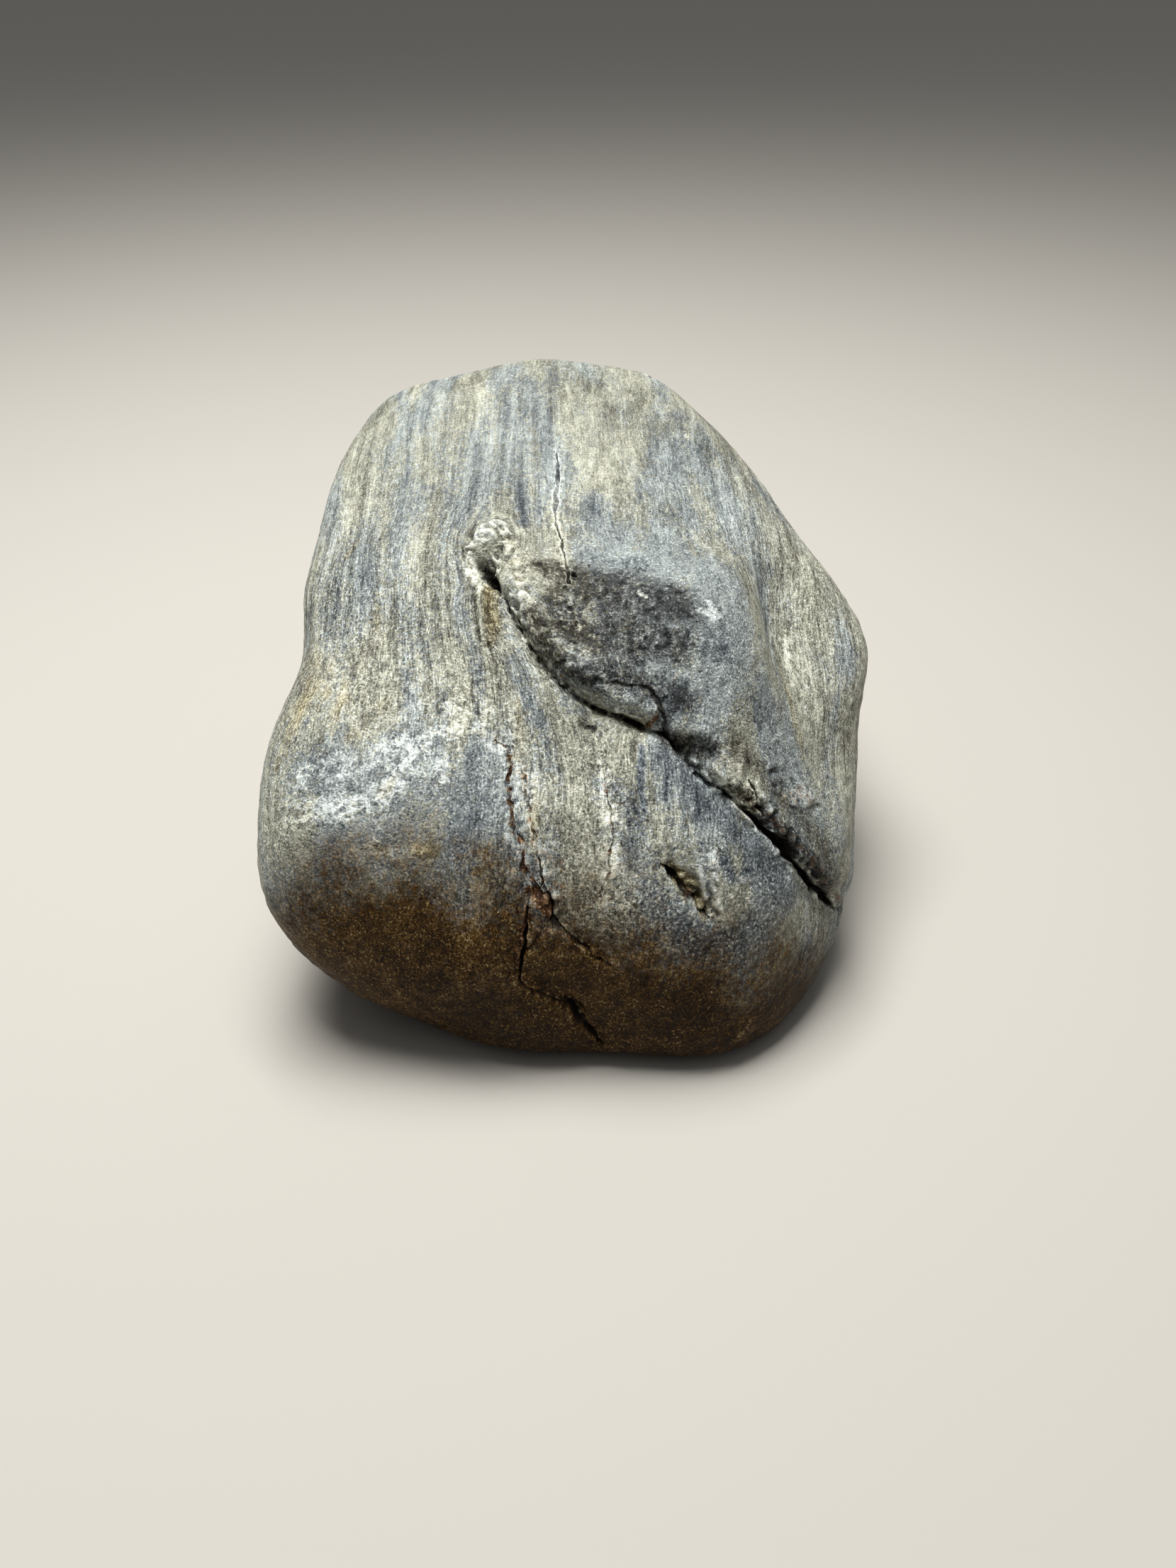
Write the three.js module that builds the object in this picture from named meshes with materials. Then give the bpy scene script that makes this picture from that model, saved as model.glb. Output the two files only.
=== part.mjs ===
// Petrified wood: a fist-sized cobble of silicified trunk wood, worn smooth by water.
//
// It is one solid stone, lying on a flat that the river wore on its underside. The grain of
// the old wood runs along Y. The blunt end with the splits faces -Y, and the stone rises to
// its highest at the far end. Millimetres, +Z up. The origin is the middle of the stone's
// box, at the level that it stands on.
//
// The body is what the water left between a number of worn flats, with rounded edges where
// they meet. Every direction out of the stone's heart meets its skin once, so the skin is a
// sphere of directions pushed out onto the body. Swellings and hollows are laid on it, then
// the splits. The skin's points are gathered along the splits, to hold their narrow floors.

import * as THREE from 'three';
import { mergeVertices } from 'three/addons/utils/BufferGeometryUtils.js';

// ---- Driving dimensions, mm ----

const EDGE_CUTS = 19;                           // cuts in each edge of the icosahedron of directions
const HEART = new THREE.Vector3(0, 0, 27);      // a point inside that all of the skin faces
const FARTHEST_SKIN = 120;                      // all of the skin is nearer to the heart than this
const SKIN_ACCURACY = 1e-6;
const EDGE_WEAR = 3.5;                          // how far the water has rounded the edges of the flats
const FOOT_ROUND = 4;                           // width over which the sides turn into the foot
const FOOT_FADE = 3;                            // height over which the relief comes up from the foot

// A worn flat faces this way, at this distance from the heart.
const WORN_FLATS = [
  { of: 'crown', facing: [-0.05, 0, 1], out: 41.7 },
  { of: 'long back slope', facing: [0.33, -0.28, 0.9], out: 27.5 },
  { of: 'steep fore slope', facing: [0, -0.74, 0.67], out: 30.8 },
  { of: 'top of the nose', facing: [-0.21, -0.46, 0.86], out: 28.4 },
  { of: 'blunt end', facing: [0, -1, 0], out: 45.6 },
  { of: 'left cheek', facing: [-0.78, -0.62, 0.08], out: 53 },
  { of: 'lifted left underside', facing: [-0.54, -0.3, -0.79], out: 45 },
  { of: 'left flank', facing: [-1, 0.03, 0], out: 39.2 },
  { of: 'upper left edge', facing: [-0.57, -0.15, 0.81], out: 40.9 },
  { of: 'right cheek', facing: [0.82, -0.57, 0.04], out: 44.4 },
  { of: 'right flank', facing: [1, 0.1, 0], out: 37.9 },
  { of: 'upper right slope', facing: [0.76, 0.14, 0.64], out: 37 },
  { of: 'fore right slope', facing: [0.6, -0.53, 0.6], out: 30.2 },
  { of: 'far end', facing: [0, 1, -0.1], out: 43.6 },
  { of: 'far upper edge', facing: [-0.13, 0.7, 0.7], out: 53 },
  { of: 'far left corner', facing: [-0.7, 0.72, 0.1], out: 54.5 },
  { of: 'far right corner', facing: [0.72, 0.7, 0], out: 53 },
  { of: 'far underside', facing: [0, 0.71, -0.71], out: 37.5 },
  { of: 'right underside', facing: [0.74, 0.09, -0.67], out: 39.4 },
  { of: 'left underside', facing: [-0.76, 0.24, -0.61], out: 35.8 },
  { of: 'chin', facing: [-0.26, -0.74, -0.62], out: 55.5 },
];

// A swelling rises this high at its middle and dies away over its reach. A hollow is below 0.
const SWELLINGS = [
  { of: 'left nose', middle: [-31, -30.5, 31.5], reach: [13, 11, 11], rise: 4.1 },
  { of: 'waist of the left flank', middle: [-35, -10.5, 47], reach: [10, 8, 12], rise: -1 },
  { of: 'saddle behind the nose', middle: [-14, -23.5, 42.5], reach: [12, 10, 12], rise: -1.3 },
  { of: 'trough along the right', middle: [28, -6, 43], reach: [6.5, 15, 10], rise: -4.2 },
  { of: 'right shoulder', middle: [14.5, -15, 45.5], reach: [12, 14, 12], rise: 4 },
  { of: 'right nose', middle: [16.5, -34, 28.5], reach: [13, 9, 11], rise: 2.5 },
  { of: 'far right bulge', middle: [35, 4.5, 35.5], reach: [10, 12, 10], rise: 3.3 },
  { of: 'right cheek', middle: [34, -26, 22], reach: [7, 8, 9], rise: 0.9 },
  { of: 'back of the left nose', middle: [-38, -19, 37], reach: [7, 8, 8], rise: 0.3 },
  { of: 'upper left edge', middle: [-31, 18, 56], reach: [9, 12, 9], rise: 0.6 },
  { of: 'upper right slope', middle: [29, 24, 46], reach: [9, 12, 9], rise: 0.6 },
  { of: 'dip under the split', middle: [0.5, -29, 38.5], reach: [9, 6, 9], rise: -1.9 },
  { of: 'chin', middle: [10.5, -41, 2], reach: [16, 8, 8], rise: 0.8 },
  { of: 'left cheek', middle: [-34.5, -34, 18.5], reach: [8, 8, 8], rise: 2.2 },
  { of: 'knot where the split starts', middle: [-12.5, -5, 53], reach: [2.4, 2.8, 2.4], rise: 1.1 },
  { of: 'hole under the knot', middle: [-12.1, -8.9, 50.3], reach: [1.9, 2.4, 2.4], rise: -1.6 },
  { of: 'ochre hollow', middle: [-12.1, -14.5, 47], reach: [1.8, 4.5, 3], rise: -0.9 },
  { of: 'chip at the foot', middle: [20, -44, 5.5], reach: [2.6, 2.6, 2], rise: -0.7 },
  { of: 'hollow on the far end', middle: [-16, 43, 34], reach: [12, 8, 14], rise: -1.6 },
  { of: 'knuckle on the far end', middle: [17, 43, 26], reach: [10, 8, 9], rise: 1.6 },
  { of: 'hollow on the right flank', middle: [38, -6, 18], reach: [8, 11, 7], rise: -1.4 },
];

// A split follows its route over the skin. Its half width and depth run from the first value
// at its start to the second at its end. The lip is how far the stone on its upper side, to
// the left of someone walking the route, stands out over it.
const SPLITS = [
  {
    of: 'main split',
    route: [
      [-12.4, -6.2, 53], [-12.2, -8.8, 49.9], [-9.6, -12.8, 47.2], [-5.7, -19.6, 43.4], [0, -23, 39.7],
      [9.3, -26.7, 37.3], [12.6, -29.9, 34.3], [19.2, -31.5, 29], [25, -31.6, 22], [31.4, -28.5, 12.6],
      [35, -21, 8.5],
    ],
    halfWidth: [0.8, 2],
    depth: [0.4, 2.6],
    lip: [1.3, 1.8],
    lipReach: 7,
  },
  {
    of: 'split down the blunt end',
    route: [
      [-9.6, -27.5, 38], [-8.8, -35, 32.5], [-6.6, -40.5, 26.3], [-7.8, -43.5, 20], [-8.3, -44.5, 16.5],
      [-4.4, -45, 13.3], [-0.8, -45.3, 9], [2.5, -45.5, 4.5],
    ],
    halfWidth: [1.1, 1.5],
    depth: [0.5, 1.2],
    lip: [0, 0.3],
    lipReach: 4,
  },
  {
    of: 'branch of the blunt end split',
    route: [[-6, -42, 24.5], [-1.9, -43.1, 21.3], [4.3, -44.1, 18]],
    halfWidth: [1.1, 0.9],
    depth: [0.8, 0.5],
    lip: [0, 0],
    lipReach: 4,
  },
  {
    of: 'gouge on the right nose',
    route: [[8, -38.5, 28.8], [11.5, -40.5, 25.5], [14.8, -41.5, 21.8]],
    halfWidth: [1.6, 1.6],
    depth: [1.2, 1.1],
    lip: [0, 0],
    lipReach: 4,
  },
  {
    of: 'split down the far end',
    route: [[9, 34, 60], [12, 42, 46], [6, 44, 31], [10, 42, 17]],
    halfWidth: [1.2, 1.8],
    depth: [0.7, 1.4],
    lip: [0, 0.5],
    lipReach: 5,
  },
];
const ROUTE_STEPS = 60;                         // straight steps in each split's smooth route
const SPLIT_TAPER = 0.12;                       // share of a split's length over which each end dies out
const GATHER = 0.7;                             // how strongly points are drawn to a split, 0 to 1
const GATHER_REACH = 4.5;                       // and from how far

// Low waves that the water leaves on every face: direction of travel, wavelength and height.
const WAVES = [
  { along: [0.9, 0.2, 0.4], length: 19, height: 0.24 },
  { along: [-0.3, 0.35, 0.9], length: 15, height: 0.18 },
  { along: [0.5, -0.25, -0.8], length: 11, height: 0.12 },
  { along: [0.7, 0.7, 0.1], length: 23, height: 0.22 },
];

// ---- The worn body ----

const vector = (xyz) => new THREE.Vector3(...xyz);
const mix = THREE.MathUtils.lerp;

// Height of a point above the body's skin, less than zero inside. The nearest flat counts
// most, and where several are about as near, the sum of them rounds the edge between them.
function heightOverBody(point) {
  const fromHeart = point.clone().sub(HEART);
  const overFlats = WORN_FLATS.map((flat) => fromHeart.dot(vector(flat.facing).normalize()) - flat.out);
  const highest = Math.max(...overFlats);
  const sum = overFlats.reduce((total, over) => total + Math.exp((over - highest) / EDGE_WEAR), 0);
  const overBody = highest + EDGE_WEAR * Math.log(sum);
  const nearFoot = Math.max(FOOT_ROUND - Math.abs(overBody + point.z), 0) / FOOT_ROUND;
  return Math.max(overBody, -point.z) + nearFoot * nearFoot * FOOT_ROUND / 4;
}

// The skin of the body along one direction out of the heart, found by halving.
function skinAlong(direction) {
  let inside = 0;
  let outside = FARTHEST_SKIN;
  while (outside - inside > SKIN_ACCURACY) {
    const middle = (inside + outside) / 2;
    if (heightOverBody(HEART.clone().addScaledVector(direction, middle)) < 0) inside = middle;
    else outside = middle;
  }
  return HEART.clone().addScaledVector(direction, inside);
}

// ---- Relief on the body ----

function swellingAt(point, swelling) {
  const away = point.clone().sub(vector(swelling.middle)).divide(vector(swelling.reach));
  return swelling.rise * Math.exp(-away.lengthSq());
}

function wavesAt(point) {
  return WAVES.reduce((total, wave) => {
    const phase = 2 * Math.PI * point.dot(vector(wave.along)) / wave.length;
    return total + wave.height * Math.sin(phase);
  }, 0);
}

// A smooth route laid on the skin.
function routeOnSkin(split) {
  const onSkin = split.route.map((xyz) => skinAlong(vector(xyz).sub(HEART).normalize()));
  return new THREE.CatmullRomCurve3(onSkin).getPoints(ROUTE_STEPS);
}

// The nearest place on a route: the point, its share of the way along, the distance to it
// and whether the asking point lies on the split's upper side.
function nearestOnRoute(steps, point) {
  let nearest = { distance: Infinity };
  const line = new THREE.Line3();
  for (let i = 0; i + 1 < steps.length; i += 1) {
    line.set(steps[i], steps[i + 1]);
    const share = line.closestPointToPointParameter(point, true);
    const spot = line.at(share, new THREE.Vector3());
    const distance = spot.distanceTo(point);
    if (distance >= nearest.distance) continue;
    const outward = spot.clone().sub(HEART);
    const leftward = outward.cross(line.delta(new THREE.Vector3()));
    const upper = leftward.dot(point.clone().sub(spot)) > 0;
    nearest = { spot, distance, upper, along: (i + share) / (steps.length - 1) };
  }
  return nearest;
}

function splitAt(point, split) {
  const { distance, upper, along } = nearestOnRoute(split.steps, point);
  const fade = Math.min(1, along / SPLIT_TAPER, (1 - along) / SPLIT_TAPER);
  const halfWidth = mix(...split.halfWidth, along);
  const inFloor = Math.max(1 - (distance / halfWidth) ** 2, 0);
  const floor = -mix(...split.depth, along) * inFloor;
  if (!upper) return fade * floor;
  const stepUp = 1 - Math.exp(-((distance / halfWidth) ** 2));
  const lip = mix(...split.lip, along) * stepUp * Math.exp(-((distance / split.lipReach) ** 2));
  return fade * (floor + lip);
}

const laidSplits = SPLITS.map((split) => ({ ...split, steps: routeOnSkin(split) }));

// How far the stone stands out of its plain body. The foot stays flat.
function reliefAt(point) {
  const swell = SWELLINGS.reduce((total, swelling) => total + swellingAt(point, swelling), 0);
  const splits = laidSplits.reduce((total, split) => total + splitAt(point, split), 0);
  return (swell + splits + wavesAt(point)) * THREE.MathUtils.smoothstep(point.z, 0, FOOT_FADE);
}

// ---- The stone ----

// Draws a point of the skin nearer to each split beside it.
function gather(point) {
  return laidSplits.reduce((place, split) => {
    const { spot, distance } = nearestOnRoute(split.steps, place);
    const pull = GATHER * Math.exp(-((distance / GATHER_REACH) ** 2));
    return skinAlong(place.clone().lerp(spot, pull).sub(HEART).normalize());
  }, point);
}

function stonePoint(direction) {
  const place = gather(skinAlong(direction));
  const outward = place.clone().sub(HEART).normalize();
  return place.clone().addScaledVector(outward, reliefAt(place));
}

function stoneGeometry() {
  const sphere = new THREE.IcosahedronGeometry(1, EDGE_CUTS);
  sphere.deleteAttribute('normal');
  sphere.deleteAttribute('uv');
  const geometry = mergeVertices(sphere);
  const positions = geometry.attributes.position;
  for (let i = 0; i < positions.count; i += 1) {
    const direction = new THREE.Vector3().fromBufferAttribute(positions, i).normalize();
    const { x, y, z } = stonePoint(direction);
    positions.setXYZ(i, x, y, z);
  }
  standOnOrigin(geometry);
  geometry.computeVertexNormals();
  return geometry;
}

// Moves the stone so that the origin is under the middle of its box, on its foot.
function standOnOrigin(geometry) {
  geometry.computeBoundingBox();
  const middle = geometry.boundingBox.getCenter(new THREE.Vector3());
  geometry.translate(-middle.x, -middle.y, -geometry.boundingBox.min.z);
}

const greyStone = new THREE.MeshStandardMaterial({ color: 0x8a8881, roughness: 0.62, metalness: 0 });
const stone = new THREE.Mesh(stoneGeometry(), greyStone);
stone.name = 'petrified_wood_cobble';

const part = new THREE.Group();
part.add(stone);

export default part;
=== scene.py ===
# %% [markdown]
# # A cobble of petrified wood
#
# Petrified wood is wood whose every cell was filled and then replaced by silica while it lay
# buried. This one broke out of a trunk, rolled in a river until its edges were gone, and kept
# the lines of its fibres, a knot, and the splits of the old wood. The measured part gives the
# big form: worn flats, lumps and the beds of the splits. This script grows the fine skin over
# it, and colours it the way iron and water did, with painted shade and painted warm reflected
# light on its blunt end, painted shade in its splits, on the lobe over the great split and at
# its foot, and painted glints on its sugary grains.

# %% Load the measured part
import math

import bpy
import numpy as np
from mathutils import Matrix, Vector, noise


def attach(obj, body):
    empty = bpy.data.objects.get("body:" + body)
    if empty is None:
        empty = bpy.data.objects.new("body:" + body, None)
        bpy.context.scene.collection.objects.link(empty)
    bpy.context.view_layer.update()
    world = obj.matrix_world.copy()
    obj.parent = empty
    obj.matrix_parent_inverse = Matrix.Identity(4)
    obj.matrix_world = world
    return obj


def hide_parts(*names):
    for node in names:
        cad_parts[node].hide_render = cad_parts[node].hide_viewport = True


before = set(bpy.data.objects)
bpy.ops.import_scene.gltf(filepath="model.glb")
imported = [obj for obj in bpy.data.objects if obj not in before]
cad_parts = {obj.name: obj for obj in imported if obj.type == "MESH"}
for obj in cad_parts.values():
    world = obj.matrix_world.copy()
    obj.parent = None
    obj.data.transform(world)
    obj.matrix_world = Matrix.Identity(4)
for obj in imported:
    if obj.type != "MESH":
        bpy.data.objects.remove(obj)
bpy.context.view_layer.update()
MM = 0.001                       # the stone is worked in millimetres, and Blender in metres

# %% [markdown]
# ## Where the eye stands
#
# A small thing held close to the eye shows strong perspective: its near end looks big and its
# far end shrinks away. A short lens near the stone gives that, where a long lens from afar would
# flatten it. The stone is held upright in the frame, so the lens is given by the film's height.

# %% Place the camera
EYE = (0.48, -142.8, 115.0)      # mm
LOOK_DOWN = 36                   # degrees under the horizon
FILM_HEIGHT = 36.0               # mm
LENS = 27.03                     # mm


def place_camera():
    lens = bpy.data.cameras.new("eye")
    lens.sensor_fit = "VERTICAL"
    lens.sensor_height = FILM_HEIGHT
    lens.lens = LENS
    lens.clip_start = 5 * MM
    camera = bpy.data.objects.new("eye", lens)
    bpy.context.scene.collection.objects.link(camera)
    camera.location = [value * MM for value in EYE]
    camera.rotation_euler = (math.radians(90 - LOOK_DOWN), 0, 0)
    bpy.context.scene.camera = camera
    return camera


print("camera at", tuple(place_camera().location))

# %% [markdown]
# ## Helpers for materials
#
# Paint charts give colours as sRGB hex values, and Blender's shaders want linear light, so one
# function turns the first into the second. Another adds a node with its settings and whatever
# feeds its sockets, so that a material reads from top to bottom like a recipe.

# %% Colours and nodes
def linear(hex_colour):
    """sRGB hex to linear red, green, blue and alpha."""
    shares = [int(hex_colour[i:i + 2], 16) / 255 for i in (1, 3, 5)]
    return [s / 12.92 if s <= 0.04045 else ((s + 0.055) / 1.055) ** 2.4 for s in shares] + [1.0]


def add(tree, kind, settings=None, feeds=None):
    """Adds a node. A ramp's stops are (place, hex colour), and a feed is a value or an output."""
    node = tree.nodes.new(kind)
    for name, value in (settings or {}).items():
        if name == "stops":
            elements = node.color_ramp.elements
            while len(elements) < len(value):
                elements.new(1.0)
            for element, (place, hex_colour) in zip(elements, value):
                element.position = place
                element.color = linear(hex_colour)
        else:
            setattr(node, name, value)
    for socket, feed in (feeds or {}).items():
        if isinstance(feed, bpy.types.NodeSocket):
            tree.links.new(feed, node.inputs[socket])
        else:
            node.inputs[socket].default_value = feed
    return node


def new_material(name):
    material = bpy.data.materials.new(name)
    material.use_nodes = True
    material.node_tree.nodes.clear()
    return material, material.node_tree


print("half-bright grey in linear light:", round(linear("#808080")[0], 3))

# %% [markdown]
# ## The table and the light
#
# The stone stands on a plain, pale, matt board, wide enough that its edge is never seen. The
# light is one broad soft box overhead and a little to the left, which wraps the crown and leaves
# the blunt end in shade, and a faint sky that keeps the shade from going black. Several small
# lamps would be harder to balance and would put as many shadows on the table.

# %% Lay the table
TABLE_WIDTH = 40.0               # m
BOARD = "#bfbbb4"
BOARD_ROUGHNESS = 0.85           # matt paint


def lay_table():
    bpy.ops.object.select_all(action="DESELECT")
    bpy.ops.mesh.primitive_plane_add(size=TABLE_WIDTH, location=(0, 0, 0))
    table = bpy.context.object
    table.name = "table"
    material, tree = new_material("matt painted board")
    feeds = {"Base Color": linear(BOARD), "Roughness": BOARD_ROUGHNESS}
    shader = add(tree, "ShaderNodeBsdfPrincipled", feeds=feeds)
    add(tree, "ShaderNodeOutputMaterial", feeds={"Surface": shader.outputs[0]})
    table.data.materials.append(material)
    return table


print("table:", lay_table().dimensions)

# %% Hang the lights
SOFT_BOX = {"place": (-0.06, 0.06, 0.52), "width": 0.28, "power": 4.1, "colour": "#fffefa"}
# The sky from the horizon up to overhead. At the horizon it is as grey as the far table.
SKY = [(0.0, "#8f8e88"), (0.2, "#5e5e5c"), (0.45, "#404040"), (1.0, "#ffffff")]
SKY_STRENGTH = 0.42
LIT_POINT = (0.0, 0.0, 0.03)     # m, the middle of the stone


def hang_light(name, place, width, power, colour):
    lamp = bpy.data.lights.new(name, "AREA")
    lamp.size = width
    lamp.energy = power
    lamp.color = linear(colour)[:3]
    light = bpy.data.objects.new(name, lamp)
    bpy.context.scene.collection.objects.link(light)
    light.location = place
    towards = Vector(LIT_POINT) - light.location
    light.rotation_euler = towards.to_track_quat("-Z", "Y").to_euler()
    return light


def open_sky():
    sky = bpy.data.worlds.new("sky")
    sky.use_nodes = True
    tree = sky.node_tree
    tree.nodes.clear()
    way = add(tree, "ShaderNodeTexCoord").outputs["Generated"]
    height = add(tree, "ShaderNodeSeparateXYZ", feeds={0: way}).outputs["Z"]
    glow = add(tree, "ShaderNodeValToRGB", {"stops": SKY}, {0: height}).outputs[0]
    light = add(tree, "ShaderNodeBackground", feeds={"Color": glow, "Strength": SKY_STRENGTH})
    add(tree, "ShaderNodeOutputWorld", feeds={"Surface": light.outputs[0]})
    bpy.context.scene.world = sky


hang_light("soft box", **SOFT_BOX)
open_sky()
bpy.context.scene.view_settings.view_transform = "Standard"
print("lights hung:", [light.name for light in bpy.data.lights])

# %% [markdown]
# ## The map of the splits
#
# The great split starts under the knot and runs across the stone to its right side, hair-fine
# in its upper half and deep below. A second one, full of rust, comes down the blunt end and forks
# like a river. A hairline crosses the crown, an old crack is healed with cream silica, and one
# more split runs down the far end. Each is a short list of stations that a carver could pencil on
# the stone: a place and half the width there. They come before the blank, because the skin has to
# be made finest where they run.

# %% Map the splits
# Each station is x, y, z and half width, in mm.
GREAT_SPLIT = [
    (-11.4, -8.6, 49.3, 0.5), (-10.5, -10.4, 48.1, 0.34), (-9.1, -12.6, 47.2, 0.26),
    (-5.2, -19.4, 43.4, 0.3), (-2.8, -21.8, 41.6, 0.38), (0.5, -22.8, 39.7, 0.42),
    (4.8, -24.2, 38.5, 0.4), (9.8, -26.5, 37.2, 0.26), (13.1, -29.5, 34.2, 0.34),
    (16.3, -30.4, 32.4, 0.3), (19.7, -31.2, 29.0, 0.4), (23.2, -31.4, 25.4, 0.7),
    (25.6, -31.3, 21.9, 0.4), (28.7, -29.9, 17.1, 0.55), (31.9, -28.2, 12.5, 0.3),
    (34.0, -25.9, 9.9, 0.35), (35.5, -20.8, 8.5, 0.3),
]
LUMP_ARC = [
    (2.6, -22.9, 42.6, 0.22), (5.5, -23.3, 42.7, 0.3), (7.9, -24.1, 42.0, 0.34),
    (8.9, -25.4, 40.8, 0.34), (9.8, -26.5, 37.3, 0.28),
]
LIP_CRACK = [(19.7, -30.2, 33.6, 0.22), (20.4, -31.0, 31.8, 0.3), (21.2, -31.4, 29.6, 0.4)]
CROWN_HAIRLINE = [
    (-3.6, 8.2, 59.3, 0.16), (-3.5, 4.3, 57.7, 0.26), (-3.6, 0.7, 56.2, 0.2),
    (-3.6, -3.2, 54.4, 0.24), (-2.8, -6.1, 53.0, 0.2), (-1.8, -11.4, 49.9, 0.24),
]
RUSTY_LEFT = [
    (-10.3, -27.6, 37.8, 0.12), (-8.9, -28.8, 36.6, 0.2), (-8.9, -30.9, 35.0, 0.16),
    (-8.7, -33.6, 32.9, 0.22), (-7.9, -36.0, 30.6, 0.2), (-7.2, -37.7, 28.5, 0.2),
    (-6.6, -39.3, 26.2, 0.24), (-5.5, -39.9, 24.9, 0.3), (-4.1, -40.8, 24.0, 0.36),
    (-3.4, -42.0, 22.1, 0.4),
]
RUSTY_RIGHT = [
    (-7.4, -29.7, 36.0, 0.14), (-6.9, -32.3, 34.3, 0.18), (-6.2, -35.6, 31.7, 0.18),
    (-5.0, -38.8, 26.9, 0.24), (-3.7, -41.1, 23.4, 0.34),
]
FORK_LEFT = [
    (-6.3, -41.0, 23.4, 0.12), (-7.1, -42.9, 19.6, 0.2), (-7.6, -44.0, 15.8, 0.24),
    (-7.2, -44.2, 13.9, 0.2), (-4.5, -44.3, 11.9, 0.12), (-2.4, -44.0, 11.1, 0.2),
]
FORK_FOOT = [
    (-2.4, -44.0, 11.1, 0.25), (-1.2, -44.2, 9.1, 0.42), (0.5, -44.6, 6.5, 0.36),
    (2.3, -44.8, 4.0, 0.3),
]
FORK_FOOT_TWIG = [(-1.4, -44.0, 11.6, 0.22), (0.2, -44.0, 9.1, 0.28)]
FORK_RIGHT = [
    (-3.7, -42.0, 22.1, 0.38), (-1.1, -42.8, 20.0, 0.3), (1.2, -43.6, 17.8, 0.26),
    (3.2, -43.7, 16.8, 0.18),
]
CREAM_LINE = [                   # an old crack, healed with pale silica
    (2.3, -30.7, 35.7, 0.08), (2.7, -33.4, 34.1, 0.12), (3.2, -35.9, 31.9, 0.12),
    (3.1, -37.5, 30.0, 0.14), (3.0, -39.0, 28.2, 0.14), (2.4, -40.4, 26.2, 0.14),
    (1.8, -41.5, 24.4, 0.1),
]
FORK_TIE = [(-6.6, -43.4, 18.4, 0.2), (-4.2, -42.4, 21.9, 0.24)]
FAR_SPLIT = [                    # down the far end
    (9.5, 34.2, 60.0, 0.3), (12.5, 42.2, 46.0, 0.6), (6.5, 44.2, 31.0, 0.7),
    (10.5, 42.2, 17.0, 0.5),
]
GOUGE_EDGE = [                   # the torn edge of a gouge on the right nose
    (8.8, -38.5, 28.4, 0.16), (9.9, -38.9, 26.8, 0.34), (10.9, -39.7, 25.7, 0.4),
    (11.7, -40.2, 24.7, 0.42), (12.9, -40.4, 23.6, 0.3), (13.4, -40.9, 22.6, 0.26),
    (14.7, -40.9, 21.9, 0.2),
]
GOUGE_BED = [
    (10.4, -38.6, 26.9, 0.6), (11.8, -39.2, 25.6, 1.1), (13.0, -39.7, 24.0, 1.3),
    (14.0, -40.3, 22.6, 0.8),
]
KNOT_LINE = [(-13.3, -6.3, 52.2, 1.6), (-11.7, -4.6, 53.7, 1.8), (-9.9, -2.6, 54.4, 1.3)]
HOLE = [(-12.7, -7.9, 50.3, 0.75), (-11.9, -8.4, 49.4, 0.95), (-11.0, -9.6, 48.5, 0.6)]
OCHRE_HOLLOW = [(-11.6, -11.0, 48.4, 1.0), (-11.2, -14.3, 46.9, 1.3), (-11.2, -17.4, 44.9, 0.8)]
FINE_ROUTES = [                  # narrow enough to need the smallest faces
    GREAT_SPLIT, LUMP_ARC, LIP_CRACK, CROWN_HAIRLINE, RUSTY_LEFT, RUSTY_RIGHT, FORK_LEFT, FORK_FOOT,
    FORK_RIGHT, CREAM_LINE, GOUGE_EDGE,
]
ALL_ROUTES = FINE_ROUTES + [FAR_SPLIT, GOUGE_BED, KNOT_LINE, HOLE, OCHRE_HOLLOW]
print("routes on the map:", len(ALL_ROUTES))

# %% Routes over the skin
ROUTE_STEP = 0.25                # mm between two places on a route
SWING, JOG = 1.7, 0.6            # mm, the size of a split's swings and of the jogs on them
HEART_MM = np.array([0.48, 0.20, 27.0])   # the point in the stone that all of its skin faces


def ripple(points, size, seed=0.0):
    """Smooth noise from about -1 to 1 at each point, with lumps of this size in mm."""
    spots = points / np.broadcast_to(size, 3) + seed
    return np.array([noise.noise(Vector(spot)) for spot in spots])


def smooth_curve(stations):
    """A smooth run through the stations: a cubic from each to the next, cut into short steps."""
    rows = np.array(stations, float)
    ends = np.vstack([2 * rows[0] - rows[1], rows, 2 * rows[-1] - rows[-2]])
    runs = []
    for a, b, c, d in zip(ends, ends[1:], ends[2:], ends[3:]):
        count = max(2, int(np.linalg.norm((c - b)[:3]) / ROUTE_STEP))
        t = np.linspace(0, 1, count, endpoint=False)[:, None]
        bend = (2 * a - 5 * b + 4 * c - d) * t**2 + (3 * b - a - 3 * c + d) * t**3
        runs.append(0.5 * (2 * b + (c - a) * t + bend))
    return np.vstack(runs + [rows[-1:]])


def lay_route(stations, wander=0.0):
    """The smooth run, swayed to its sides as a real split is, by about this many mm."""
    route = smooth_curve(stations)
    sideways = np.cross(route[:, :3] - HEART_MM, np.gradient(route[:, :3], axis=0))
    sideways /= np.linalg.norm(sideways, axis=1, keepdims=True)
    sway = ripple(route[:, :3], SWING, 7.3) + 0.6 * ripple(route[:, :3], JOG, 2.1)
    route[:, :3] += wander * sway[:, None] * sideways
    return route


print("places on the great split:", len(lay_route(GREAT_SPLIT)))

# %% [markdown]
# ## The blank
#
# A stone has no primitive to start from: a sphere or a cube would have to be pushed about until
# it happened to match the measured part. So the blank is a copy of the measured solid itself. Its
# triangles are loose, so they are merged first, and a subdivision surface rounds the facets.

# %% Make the blank
SAME_POINT = 0.01                # mm, corners nearer than this are one point


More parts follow.
